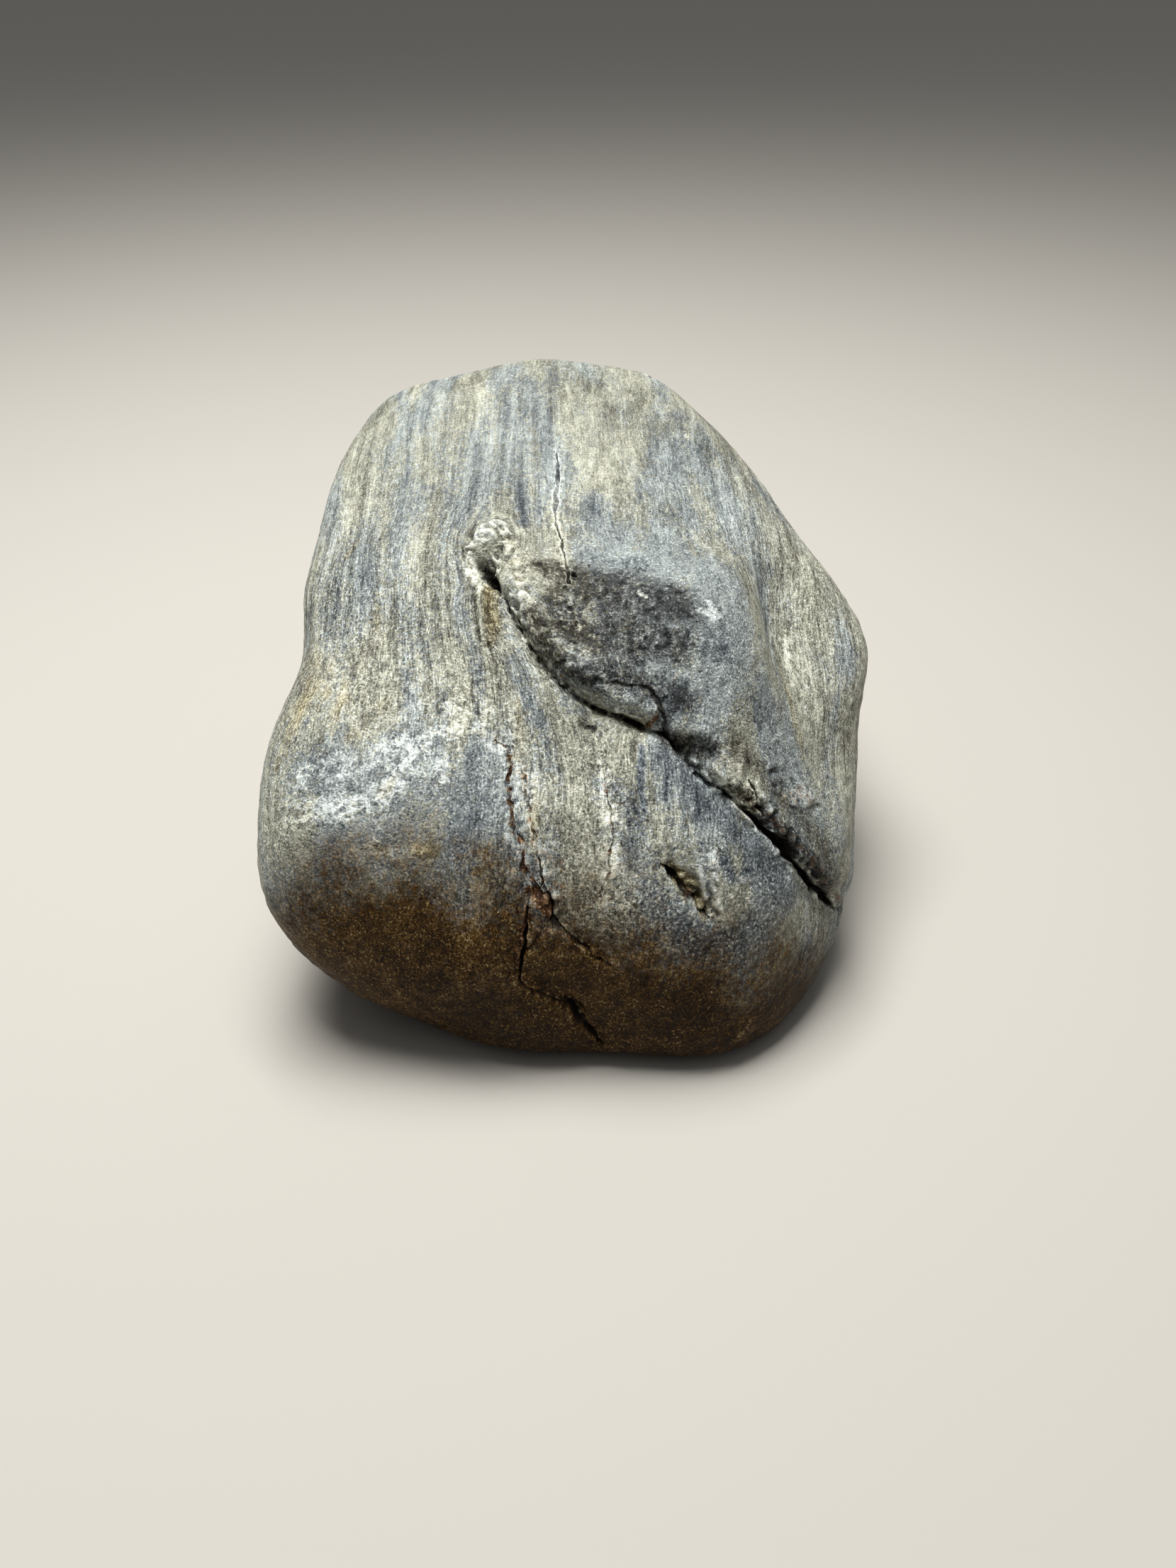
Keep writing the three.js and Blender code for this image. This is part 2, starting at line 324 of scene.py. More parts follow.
def make_blank(node_name, name):
    blank = bpy.data.objects.new(name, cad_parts[node_name].data.copy())
    bpy.context.scene.collection.objects.link(blank)
    bpy.ops.object.select_all(action="DESELECT")
    blank.select_set(True)
    bpy.context.view_layer.objects.active = blank
    bpy.ops.object.mode_set(mode="EDIT")
    bpy.ops.mesh.select_all(action="SELECT")
    bpy.ops.mesh.remove_doubles(threshold=SAME_POINT * MM)
    bpy.ops.mesh.customdata_custom_splitnormals_clear()
    bpy.ops.object.mode_set(mode="OBJECT")
    rounding = blank.modifiers.new("rounded facets", "SUBSURF")
    rounding.levels = 1
    rounding.render_levels = 1
    bpy.ops.object.modifier_apply(modifier=rounding.name)
    bpy.ops.object.shade_smooth()
    return blank


stone = make_blank("petrified_wood_cobble", "cobble_skin")
print("faces of the blank:", len(stone.data.polygons))

# %% [markdown]
# ## Small faces where they are needed
#
# Carving wants small faces, but small faces all over would be millions. So only what the eye
# meets first is subdivided once more, the bands along the splits twice, and the narrow beds of
# the fine splits three times. A multiresolution modifier would cut the whole stone alike.

# %% Cut the faces finer
SIDE_SEEN = -0.05                # faces turned away from the eye by more than this stay coarse
BAND = 1.1                       # mm of fine skin on each side of a split's wall


def face_values(mesh, name):
    values = np.empty(len(mesh.polygons) * 3)
    mesh.polygons.foreach_get(name, values)
    return values.reshape(-1, 3)


def refine(piece, chosen):
    """Cuts each chosen face in four, on the curve of the skin."""
    bpy.context.tool_settings.mesh_select_mode = (False, False, True)
    bpy.ops.object.mode_set(mode="EDIT")
    bpy.ops.mesh.select_all(action="DESELECT")
    bpy.ops.object.mode_set(mode="OBJECT")
    piece.data.polygons.foreach_set("select", chosen)
    bpy.ops.object.mode_set(mode="EDIT")
    bpy.ops.mesh.subdivide(number_cuts=1, smoothness=1.0, ngon=False)
    bpy.ops.object.mode_set(mode="OBJECT")
    return int(chosen.sum())


def near_routes(places, routes, band):
    """Which places lie within a band of any route's walls."""
    chosen = np.zeros(len(places), bool)
    for stations in routes:
        for spot in smooth_curve(stations)[::3]:
            chosen |= np.linalg.norm(places - spot[:3], axis=1) < spot[3] + band
    return chosen


centres = face_values(stone.data, "center") / MM
to_eye = np.array(EYE) - centres
to_eye /= np.linalg.norm(to_eye, axis=1, keepdims=True)
seen = (to_eye * face_values(stone.data, "normal")).sum(axis=1) > SIDE_SEEN
print("cut once:", refine(stone, seen | near_routes(centres, ALL_ROUTES, 2 * BAND)))
centres = face_values(stone.data, "center") / MM
print("cut twice:", refine(stone, near_routes(centres, ALL_ROUTES, BAND)))
centres = face_values(stone.data, "center") / MM
print("cut three times:", refine(stone, near_routes(centres, FINE_ROUTES, BAND / 4)))
print("triangles:", sum(len(face.vertices) - 2 for face in stone.data.polygons))

# %% [markdown]
# ## Carving tools
#
# Splits, knots and chips are all narrow shapes that follow a line over the stone. Cutting them
# with booleans would leave hard, machine-made walls. Here every point of the skin that lies close
# to a route is pushed in or out along its line from the heart of the stone. One tool then does
# for every mark, raised or sunk.

# %% Take hold of the skin
class Skin:
    """The stone's points in mm, the way out at each, and the stains laid on them."""

    def __init__(self, piece):
        flat = np.empty(len(piece.data.vertices) * 3)
        piece.data.vertices.foreach_get("co", flat)
        self.points = flat.reshape(-1, 3) / MM
        self.outward = self.points - HEART_MM
        self.outward /= np.linalg.norm(self.outward, axis=1, keepdims=True)
        self.stains = {}

    def beside(self, route, reach):
        """The points within reach of a route, how far off each lies, its station and the gap."""
        low = route[:, :3].min(axis=0) - reach
        high = route[:, :3].max(axis=0) + reach
        boxed = np.flatnonzero(((self.points > low) & (self.points < high)).all(axis=1))
        off, station, gap = [], [], []
        for some in np.array_split(boxed, max(1, len(boxed) // 3000)):
            between = self.points[some, None] - route[None, :, :3]
            outward = self.outward[some, None]
            between -= (between * outward).sum(axis=2, keepdims=True) * outward
            distance = np.linalg.norm(between, axis=2)
            nearest = distance.argmin(axis=1)
            off.append(distance.min(axis=1))
            station.append(nearest)
            gap.append(between[np.arange(len(some)), nearest])
        off, station, gap = np.concatenate(off), np.concatenate(station), np.vstack(gap)
        close = off < reach
        return boxed[close], off[close], station[close], gap[close]

    def push(self, chosen, amount):
        self.points[chosen] += self.outward[chosen] * np.asarray(amount)[:, None]

    def stain(self, name, chosen, amount):
        layer = self.stains.setdefault(name, np.zeros(len(self.points)))
        layer[chosen] = np.maximum(layer[chosen], amount)


skin = Skin(stone)
print("skin points:", len(skin.points))

# %% The tool for splits
SPLIT_REACH = 4.0                # mm to each side that a split changes
GATHER_WIDTH = 1.0               # mm over which the skin's points are drawn to its middle
CRUMB = 0.9                      # mm, the size of one crumb on its walls
CRUMB_HEIGHT = 0.35              # mm
CRUMBLED = 1.3                   # mm over which the walls crumble
SEEPED = 0.3                     # mm of rust that crept past the walls
RIM_OFF, RIM_WIDTH = 0.4, 0.6    # mm from the wall to the middle of the pale rim, and its width


def cut_split(stations, depth, rim=0.6, soot=1.0, rusty=0.0, wander=0.3, gather=0.45):
    """Cuts a ragged split with a sooty bed darkened by painted shade, and a rim. Its depth runs
    through the given values.
    """
    route = lay_route(stations, wander)
    chosen, off, station, gap = skin.beside(route, SPLIT_REACH)

    # Draw the points to the middle line, so that even a hair-fine bed has some of its own.
    pull = gather * np.exp(-((off / GATHER_WIDTH) ** 2)) * np.clip(off / 0.2, 0, 1)
    skin.points[chosen] -= gap * pull[:, None]
    off = off * (1 - pull)
    spots = skin.points[chosen]

    # Its width and depth change from place to place, as they do where wood tears.
    half = route[station, 3] * (1 + 0.6 * ripple(spots, 1.1, 3.7) + 0.6 * ripple(spots, 2.6, 6.1))
    deep = np.interp(station / (len(route) - 1), np.linspace(0, 1, len(depth)), depth)
    deep = deep * (1 + 0.8 * ripple(spots, 2.2, 1.4))

    # Sink the bed between its walls, and crumble the skin beside them.
    share = off / np.maximum(half, 0.08)
    walls = np.clip(1 - share**2, 0, 1) ** 0.7
    crumbs = np.exp(-((off / CRUMBLED) ** 2)) * (ripple(spots, CRUMB, 9.1) - 0.3)
    crumbs *= CRUMB_HEIGHT * np.minimum(deep, 1) * (1 - walls)
    skin.push(chosen, crumbs - deep * walls)

    # Soot with painted shade, darker the deeper the bed, and dots of rust lie in the bed, rust
    # creeps past the walls, and the rim is pale.
    bed = np.clip((1.3 - share) * 1.4, 0, 1)
    skin.stain("soot", chosen, soot * bed * np.clip(0.15 + deep * 0.75, 0, 1))
    dots = np.clip(0.75 + 0.8 * ripple(spots, CRUMB, 8.3), 0, 1)
    skin.stain("rust", chosen, rusty * bed * dots * np.clip(0.6 + deep * 0.75, 0, 1))
    seeped = np.exp(-(((off - half) / SEEPED) ** 2)) * (ripple(spots, 1.3, 4.9) > 0.1)
    skin.stain("rust", chosen, (0.3 + 0.3 * rusty) * seeped)
    band = np.exp(-(((off - half - RIM_OFF) / RIM_WIDTH) ** 2))
    band *= 0.6 + 0.9 * ripple(spots, 1.2, 5.5)
    skin.stain("pale", chosen, np.clip(rim * band, 0, 1))
    return len(route) * ROUTE_STEP


print("a split changes the skin to", SPLIT_REACH, "mm on each side")

# %% The tools for lumps, pits and stains
FADED = 2.2                      # half widths from a mark's middle line to where it is gone
TORN_CRUMB = 0.95                # mm, the size of one crumb of torn skin


def beside_mark(stations):
    """The points that a mark touches, how far off its route they lie, and its half width there."""
    route = lay_route(stations)
    chosen, off, station, gap = skin.beside(route, FADED * max(row[3] for row in stations))
    return chosen, off, route[station, 3]


def raise_along(stations, height, crisp=3.0, rag=0.3, lump=1.2, torn=0.0):
    """Raises the skin along a route, or sinks it where the height is below 0. Torn is crumbs."""
    chosen, off, half = beside_mark(stations)
    spots = skin.points[chosen]
    share = off / (half * (1 + rag * ripple(spots, lump, 4.2)))
    crumbs = 2.4 * ripple(spots, TORN_CRUMB, 2.6)
    skin.push(chosen, height * np.exp(-share**crisp) * (1 - torn + torn * crumbs))


def stain_along(name, stations, strength, rag=0.35, lump=2.0, crisp=2.0):
    """Stains the skin along a route."""
    chosen, off, half = beside_mark(stations)
    share = off / (half * (1 + rag * ripple(skin.points[chosen], lump, 6.4)))
    skin.stain(name, chosen, strength * np.exp(-share**crisp))


print("a mark fades out over", FADED, "half widths")

# %% [markdown]
# ## Cutting the splits
#
# The lower half of the great split is partly filled with crumbs, so a low bank is raised there
# first and the split is cut through it. Then each split follows its route with its own depths,
# and with its own share of rust, and of soot with painted shade, because some stayed open to the
# water and others closed early.

# %% Fill the bed of the great split
BED_FILL = [
    (17.6, -30.8, 31.2, 0.9), (20.6, -31.4, 28.2, 1.3), (23.4, -31.6, 25.4, 1.5),
    (26.4, -31.4, 22.6, 1.6), (29.0, -30.0, 18.0, 1.6), (31.4, -28.2, 13.8, 1.2),
]
FILL_HEIGHT = 1.4                # mm
raise_along(BED_FILL, FILL_HEIGHT)
print("bed filled by up to", FILL_HEIGHT, "mm")

# %% Cut the splits
# Each split has its route and its depths in mm, from its start to its end.
GREAT_DEPTHS = (0.9, 0.4, 0.35, 0.35, 0.4, 0.4, 0.8, 1.6, 1.6, 1.0, 0.3)
lengths = {
    "great split": cut_split(GREAT_SPLIT, GREAT_DEPTHS, rim=0.35, rusty=0.15),
    "arc over the lump": cut_split(LUMP_ARC, (0.2, 0.5, 0.5), rim=0.2, rusty=0.5),
    "crack in the lip": cut_split(LIP_CRACK, (0.2, 0.7, 1.0), rim=0.3),
    "crown hairline": cut_split(
        CROWN_HAIRLINE, (0.35, 0.55, 0.2, 0.5, 0.35), rim=0.3, soot=0.9, wander=0.2),
    "rusty left": cut_split(RUSTY_LEFT, (0.3, 0.4, 0.4, 0.5, 0.9), soot=0.45, rusty=0.95),
    "rusty right": cut_split(RUSTY_RIGHT, (0.15, 0.25, 0.35, 0.7), soot=0.35, rusty=0.8),
    "left fork": cut_split(FORK_LEFT, (0.4, 1.0, 1.1, 0.5, 0.5), rim=0.2, rusty=0.8),
    "foot of the fork": cut_split(FORK_FOOT, (0.7, 1.2, 1.1, 0.7), rim=0.3, rusty=0.6),
    "twig of the fork": cut_split(FORK_FOOT_TWIG, (0.6, 0.5), rim=0.2, rusty=0.5),
    "right fork": cut_split(FORK_RIGHT, (0.8, 0.5, 0.4, 0.25), rim=0.2, rusty=0.8),
    "tie between the forks": cut_split(FORK_TIE, (0.3, 0.4), rim=0.2, rusty=0.8),
    "cream line": cut_split(CREAM_LINE, (0.1, 0.25, 0.3, 0.25, 0.1), rim=0.75, soot=0.5, rusty=0.6),
    "edge of the gouge": cut_split(GOUGE_EDGE, (0.4, 1.1, 1.0, 0.6, 0.4), rim=0.1, rusty=0.5),
    "far split": cut_split(FAR_SPLIT, (0.4, 1.0, 1.2, 0.8), rusty=0.5),
}
print("split lengths, mm:", {name: round(length) for name, length in lengths.items()})

# %% [markdown]
# ## The knot, the hole and the chips
#
# Where a twig left the trunk, silica grew as a pale knot with a hole beneath it. Lumps, pits,
# crumbs and the gouge on the right nose are each a short route with a height: above 0 it is
# raised, below 0 it is sunk. A brush in sculpt mode would do the same by hand, but a list can be
# read, measured and changed. The smooth marks come first, and the crumbs go over them.

# %% Press the knot and pits
# Each mark is a height and the stations of its middle line.
SMOOTH_MARKS = [
    (0.8, [(-13.0, -6.5, 52.2, 1.4), (-11.7, -4.8, 53.6, 1.6), (-10.9, -3.7, 54.1, 1.1)]),
    (0.5, [
        (-5.9, -17.5, 46.7, 0.9), (-3.3, -20.4, 45.9, 1.3), (-0.7, -22.5, 44.7, 1.3),
        (1.8, -23.6, 43.4, 0.9),
    ]),
    (0.8, [(3.8, -24.6, 41.6, 1.3), (7.0, -25.6, 40.6, 1.2)]),
    (-0.8, [(11.8, -27.8, 36.8, 1.3), (13.6, -28.8, 36.8, 1.5), (15.2, -29.2, 36.9, 1.2)]),
    (0.55, [(17.7, -31.1, 33.6, 0.4), (18.3, -29.6, 35.1, 0.45), (18.9, -26.9, 36.6, 0.35)]),
    (-0.35, [(-13.5, -10.9, 49.0, 0.3), (-13.2, -14.7, 46.7, 0.3), (-12.8, -17.2, 45.1, 0.2)]),
    (-0.5, GOUGE_BED),
    (0.3, [
        (13.3, -38.4, 27.6, 0.3), (13.7, -39.1, 26.1, 0.35), (14.0, -39.6, 24.4, 0.3),
        (14.6, -40.4, 22.5, 0.3),
    ]),
    (0.35, [
        (15.0, -37.1, 28.7, 0.4), (15.1, -38.4, 26.9, 0.5), (15.3, -39.5, 25.0, 0.45),
        (15.9, -40.3, 22.8, 0.3),
    ]),
    (0.35, [(18.6, -43.4, 5.9, 1.3), (20.6, -43.2, 6.3, 1.2)]),
]
PITS = [
    (-2.0, HOLE),
    (-0.5, [(-5.9, -8.9, 51.7, 0.6), (-4.9, -10.0, 51.0, 0.4)]),
    (-0.6, [(-1.2, -10.6, 50.8, 0.4), (-0.5, -11.2, 50.5, 0.5)]),
    (-0.6, [(0.4, -14.0, 49.2, 0.5), (-0.6, -15.6, 48.4, 0.3)]),
    (-0.5, [(-2.9, -13.2, 49.5, 0.5), (-3.8, -12.4, 50.0, 0.35)]),
    (-0.6, [(-5.3, -19.0, 43.9, 0.5), (-4.2, -20.6, 42.8, 0.5)]),
    (-0.8, [(-0.3, -25.8, 38.7, 0.4), (1.3, -26.4, 38.2, 0.5)]),
    (-0.7, [(1.2, -23.2, 39.5, 0.5), (2.4, -23.6, 39.1, 0.5)]),
    (-0.8, [(5.2, -24.7, 38.6, 0.6), (6.6, -25.3, 38.2, 0.6)]),
    (-0.7, [(6.9, -44.3, 14.4, 0.35), (7.5, -44.4, 15.1, 0.45)]),
]
for height, stations in SMOOTH_MARKS:
    raise_along(stations, height)
for height, stations in PITS:
    raise_along(stations, height, crisp=4, rag=0.6, lump=0.8, torn=0.3)
print("lumps and pits:", len(SMOOTH_MARKS) + len(PITS))

# %% Scatter the crumbs
CRUMBS = [
    (0.4, [(-14.3, -5.8, 52.6, 0.6), (-14.0, -8.2, 50.6, 0.7), (-12.9, -10.7, 49.2, 0.6)]),
    (0.5, [
        (-9.8, -4.6, 53.4, 0.9), (-9.0, -7.4, 52.2, 1.1), (-8.2, -10.6, 51.3, 0.9),
        (-7.2, -14.0, 49.4, 0.7),
    ]),
    (0.9, [(-10.7, -7.3, 50.8, 0.5), (-10.3, -8.7, 49.8, 0.4)]),
    (0.15, KNOT_LINE),
    (0.12, OCHRE_HOLLOW),
    (0.25, [
        (-4.8, -11.0, 50.6, 1.4), (-1.9, -14.1, 49.0, 1.8), (-0.9, -17.3, 47.6, 1.6),
        (-3.7, -15.6, 48.4, 1.4),
    ]),
    (0.3, [
        (-8.4, -13.4, 46.9, 0.5), (-6.6, -17.4, 44.7, 0.6), (-4.8, -20.4, 42.8, 0.7),
        (-1.2, -22.4, 41.2, 0.7),
    ]),
    (0.4, [
        (-8.0, -12.6, 48.4, 0.8), (-5.0, -17.2, 45.6, 1.1), (-2.0, -20.6, 43.6, 1.2),
        (1.4, -22.2, 42.2, 1.0),
    ]),
    (0.5, [(3.9, -24.2, 39.6, 0.7), (6.4, -25.3, 39.0, 0.8), (8.4, -26.2, 38.6, 0.6)]),
    (0.6, [
        (12.6, -29.0, 35.4, 0.6), (14.1, -29.9, 34.4, 0.9), (15.8, -30.3, 34.2, 1.0),
        (17.2, -30.6, 34.0, 0.8),
    ]),
    (0.35, [
        (19.5, -30.4, 31.8, 1.0), (21.0, -30.6, 30.4, 1.1), (23.0, -31.0, 28.2, 1.2),
        (25.5, -31.3, 24.9, 1.2), (28.2, -30.4, 20.2, 1.0),
    ]),
    (0.5, [
        (22.5, -26.5, 33.4, 1.3), (24.8, -27.6, 30.4, 1.6), (26.8, -26.0, 29.0, 1.5),
        (28.6, -25.4, 27.0, 1.2),
    ]),
    (0.4, [(10.6, -38.7, 26.8, 0.6), (12.4, -39.4, 25.0, 1.0), (13.8, -40.0, 23.0, 1.0)]),
    (0.25, [(13.8, -37.0, 29.2, 0.8), (14.9, -38.9, 26.6, 0.9), (15.6, -40.6, 22.4, 0.7)]),
    (0.1, [
        (-7.6, -26.5, 39.0, 0.7), (-7.2, -30.0, 36.0, 0.9), (-6.4, -34.0, 33.0, 1.0),
        (-5.4, -37.6, 29.4, 1.1), (-3.4, -39.6, 26.6, 1.2),
    ]),
]
for height, stations in CRUMBS:
    raise_along(stations, height, torn=0.95)
print("knot top, mm:", skin.points[:, 2].max().round(1))

# %% [markdown]
# ## Stains
#
# The skin's colours follow its story. Each stain is a named layer of numbers on the points, laid
# along short routes like those of the carving, and the material later gives the layer its
# colour. Painting an image would tie them to a UV map and a fixed number of pixels. The first
# stains are pale: rims and crumbs that the river rubbed fresh, and the chalky bloom that dew
# leaves where it dries on the left nose.

# %% Pale rims and bloom
def lay_stains(name, marks):
    """Lays one kind of stain. Each mark is a strength and the stations of its middle line."""
    for strength, stations in marks:
        stain_along(name, stations, strength)
    return len(marks)


PALE_MARKS = [
    (0.45, [(-13.4, -7.2, 51.6, 1.1), (-11.9, -5.6, 53.0, 1.4), (-9.8, -3.8, 53.9, 1.2)]),
    (1.0, [(-14.4, -5.8, 52.6, 0.6), (-14.1, -8.2, 50.6, 0.7), (-12.9, -10.9, 49.0, 0.6)]),
    (0.65, [
        (-9.8, -4.2, 53.6, 0.9), (-9.0, -7.0, 52.3, 1.0), (-8.2, -10.6, 51.3, 0.8),
        (-7.2, -14.0, 49.4, 0.7), (-6.3, -16.6, 47.4, 0.5),
    ]),
    (1.0, [(-10.7, -7.3, 50.8, 0.5), (-10.3, -8.7, 49.8, 0.4)]),
    (0.45, [(-1.9, -14.1, 49.0, 1.4), (-0.9, -17.3, 47.6, 1.4), (-3.7, -15.6, 48.4, 1.2)]),
    (1.0, [(6.6, -14.4, 50.2, 0.5), (7.4, -14.8, 50.0, 0.5)]),
    (0.7, [(15.0, -15.1, 49.3, 0.7), (15.9, -16.5, 48.1, 0.9), (13.7, -16.5, 49.0, 0.6)]),
    (0.7, [(3.9, -24.2, 39.6, 0.5), (6.4, -25.3, 39.0, 0.6), (8.4, -26.2, 38.6, 0.5)]),
    (0.65, [(14.1, -29.9, 34.1, 0.8), (15.6, -30.4, 34.0, 1.0), (17.0, -30.8, 33.9, 0.7)]),
    (0.35, [(17.7, -31.1, 33.6, 0.4), (18.3, -29.6, 35.1, 0.45), (18.9, -26.9, 36.6, 0.35)]),
    (0.7, [(24.8, -28.2, 29.7, 1.1), (26.8, -25.9, 28.7, 1.3), (28.6, -25.2, 27.0, 1.0)]),
    (0.6, [(24.1, -6.7, 40.8, 0.8), (24.1, -11.8, 39.5, 0.9)]),
    (0.6, [(26.8, -5.3, 39.0, 0.7), (26.6, -11.9, 36.4, 0.8)]),
    (0.5, [(2.6, -27.2, 37.8, 0.3), (1.9, -29.8, 36.2, 0.3), (2.6, -33.0, 34.2, 0.3)]),
    (0.5, [(1.2, -33.4, 34.1, 0.25), (2.0, -35.3, 32.5, 0.3), (2.8, -36.7, 31.0, 0.3)]),
    (0.3, [(3.0, -34.0, 33.6, 0.6), (3.8, -36.5, 31.2, 1.0), (4.0, -38.4, 28.8, 0.8)]),
    (0.5, [
        (-8.4, -24.5, 40.6, 1.6), (-7.6, -28.7, 36.8, 2.0), (-6.9, -32.3, 34.3, 2.4),
        (-6.3, -35.1, 32.3, 2.6), (-5.0, -38.0, 29.0, 2.6), (-4.2, -40.0, 25.8, 2.2),
    ]),
    (0.6, [
        (-7.6, -29.0, 36.6, 0.5), (-7.0, -32.3, 34.3, 0.6), (-6.4, -35.6, 31.8, 0.6),
        (-5.4, -38.0, 28.8, 0.6),
    ]),
    (0.7, [
        (15.0, -37.1, 28.7, 0.5), (15.1, -38.4, 26.9, 0.6), (15.3, -39.5, 25.0, 0.5),
        (15.9, -40.3, 22.8, 0.4), (17.0, -41.5, 19.4, 0.3),
    ]),
    (0.6, [
        (13.3, -38.4, 27.6, 0.4), (13.7, -39.1, 26.1, 0.4), (14.0, -39.6, 24.4, 0.4),
        (14.6, -40.4, 22.5, 0.5),
    ]),
    (0.4, [(10.6, -38.7, 26.8, 0.5), (12.4, -39.4, 25.0, 0.7), (13.8, -40.2, 22.8, 0.8)]),
    (0.55, [(18.6, -43.4, 5.9, 1.4), (20.6, -43.2, 6.3, 1.3)]),
]
BLOOM_MARKS = [
    (0.75, [
        (-31.9, -35.0, 32.5, 1.6), (-29.1, -34.8, 33.4, 2.2), (-26.6, -34.9, 33.5, 2.2),
        (-24.2, -34.3, 34.1, 2.4), (-22.4, -32.8, 35.0, 2.6), (-20.9, -31.2, 35.9, 2.2),
    ]),
    (0.75, [
        (-24.3, -29.3, 37.3, 1.0), (-23.0, -28.5, 37.7, 1.2), (-21.1, -28.3, 37.7, 1.2),
        (-20.2, -29.4, 37.0, 1.2), (-20.9, -30.7, 36.2, 1.6),
    ]),
    (0.7, [
        (-19.1, -28.5, 37.4, 0.8), (-17.5, -28.7, 37.2, 0.9), (-16.6, -30.2, 36.2, 0.9),
        (-16.2, -32.0, 34.8, 0.9),
    ]),
    (0.75, [
        (-18.7, -27.2, 38.2, 0.9), (-16.5, -26.4, 38.5, 1.3), (-13.7, -26.3, 38.6, 1.4),
        (-11.5, -26.2, 38.8, 1.0),
    ]),
    (0.65, [(-16.4, -24.1, 39.8, 2.0), (-13.8, -24.0, 40.1, 2.2), (-11.2, -24.8, 39.9, 1.8)]),
    (0.65, [(-23.3, -35.5, 33.0, 0.8), (-23.5, -37.1, 31.4, 0.8), (-24.3, -38.2, 30.2, 0.9)]),
    (0.75, [(-33.4, -31.2, 34.9, 0.9), (-31.7, -30.6, 35.8, 1.1), (-30.1, -29.6, 36.8, 0.9)]),
    (0.7, [(-24.6, -38.2, 30.2, 0.8), (-23.0, -38.6, 29.6, 0.8), (-18.4, -38.1, 29.8, 0.9)]),
    (0.5, [
        (-33.5, -34.5, 31.0, 2.5), (-31.5, -31.5, 35.0, 3.0), (-26.0, -30.5, 36.6, 3.0),
        (-18.0, -31.0, 35.8, 3.0),
    ]),
    (0.4, [(-13.0, -22.0, 42.0, 3.5), (-17.0, -24.5, 40.5, 3.5), (-21.0, -24.0, 40.5, 3.0)]),
    (0.3, [(-16.0, -12.0, 48.0, 3.0), (-21.0, -17.0, 44.0, 3.5), (-26.0, -26.0, 38.5, 3.0)]),
    (0.4, [(-34.5, -33.0, 31.5, 2.0), (-36.5, -34.0, 27.0, 2.5), (-36.0, -33.0, 21.0, 2.5)]),
]
print("pale marks:", lay_stains("pale", PALE_MARKS))
print("bloom marks:", lay_stains("bloom", BLOOM_MARKS))

# %% [markdown]
# ## Iron, soot and painted shade
#
# Iron seeped from the cracks. It is ochre where it spread thinly through the skin, and rust
# where it stood longer. Soot is black dirt, and here it is also painted shade: the hole, the
# pits and the band over the lower great split are made dark where shade falls.

# %% Ochre, rust, soot and painted shade
OCHRE_MARKS = [
    (0.8, [(-11.6, -11.0, 48.4, 1.2), (-11.2, -14.3, 46.9, 1.6), (-11.2, -17.4, 44.9, 1.1)]),
    (0.5, [(-23.3, -33.8, 34.4, 0.9), (-21.5, -31.7, 35.7, 0.9)]),
    (0.9, [(-19.3, -38.1, 29.8, 1.1), (-17.6, -38.5, 29.5, 1.2)]),
    (0.7, [(-24.3, -38.0, 30.2, 0.9), (-22.6, -38.8, 29.5, 0.9)]),
    (0.4, [
        (-31.0, -6.0, 46.0, 2.6), (-30.0, -12.0, 44.2, 4.2), (-30.5, -18.0, 41.6, 4.2),
        (-29.0, -24.0, 39.8, 2.6),
    ]),
    (0.5, [
        (-35.3, -12.0, 40.5, 2.6), (-34.6, -19.0, 39.0, 4.4), (-35.2, -24.5, 37.4, 4.4),
        (-36.6, -28.0, 34.8, 3.0),
    ]),
    (0.5, [(-26.3, -8.0, 47.6, 0.6), (-26.0, -13.4, 44.6, 0.6)]),
    (0.6, [(-29.7, -0.1, 50.3, 0.8), (-31.1, -1.9, 49.0, 0.9)]),
    (0.5, [(-27.0, -27.5, 38.3, 1.4), (-24.5, -24.0, 40.2, 1.2)]),
    (0.9, [(10.0, -38.6, 27.4, 0.7), (12.4, -39.4, 25.0, 1.3), (13.8, -40.2, 22.8, 1.2)]),
    (0.5, [(24.1, -6.7, 40.8, 1.2), (25.5, -12.0, 38.0, 1.8), (27.5, -20.0, 32.5, 1.6)]),
    (0.45, [(-7.9, -24.5, 40.6, 1.0), (-7.0, -31.0, 35.0, 1.3), (-5.6, -36.5, 30.8, 1.6)]),
    (0.4, [(22.0, -29.5, 32.0, 2.2), (26.5, -29.0, 26.5, 2.8), (31.0, -27.0, 18.0, 3.0)]),
    (0.45, [(-9.8, -4.2, 53.6, 1.0), (-8.2, -10.6, 51.3, 1.0), (-6.3, -16.6, 47.4, 0.8)]),
]
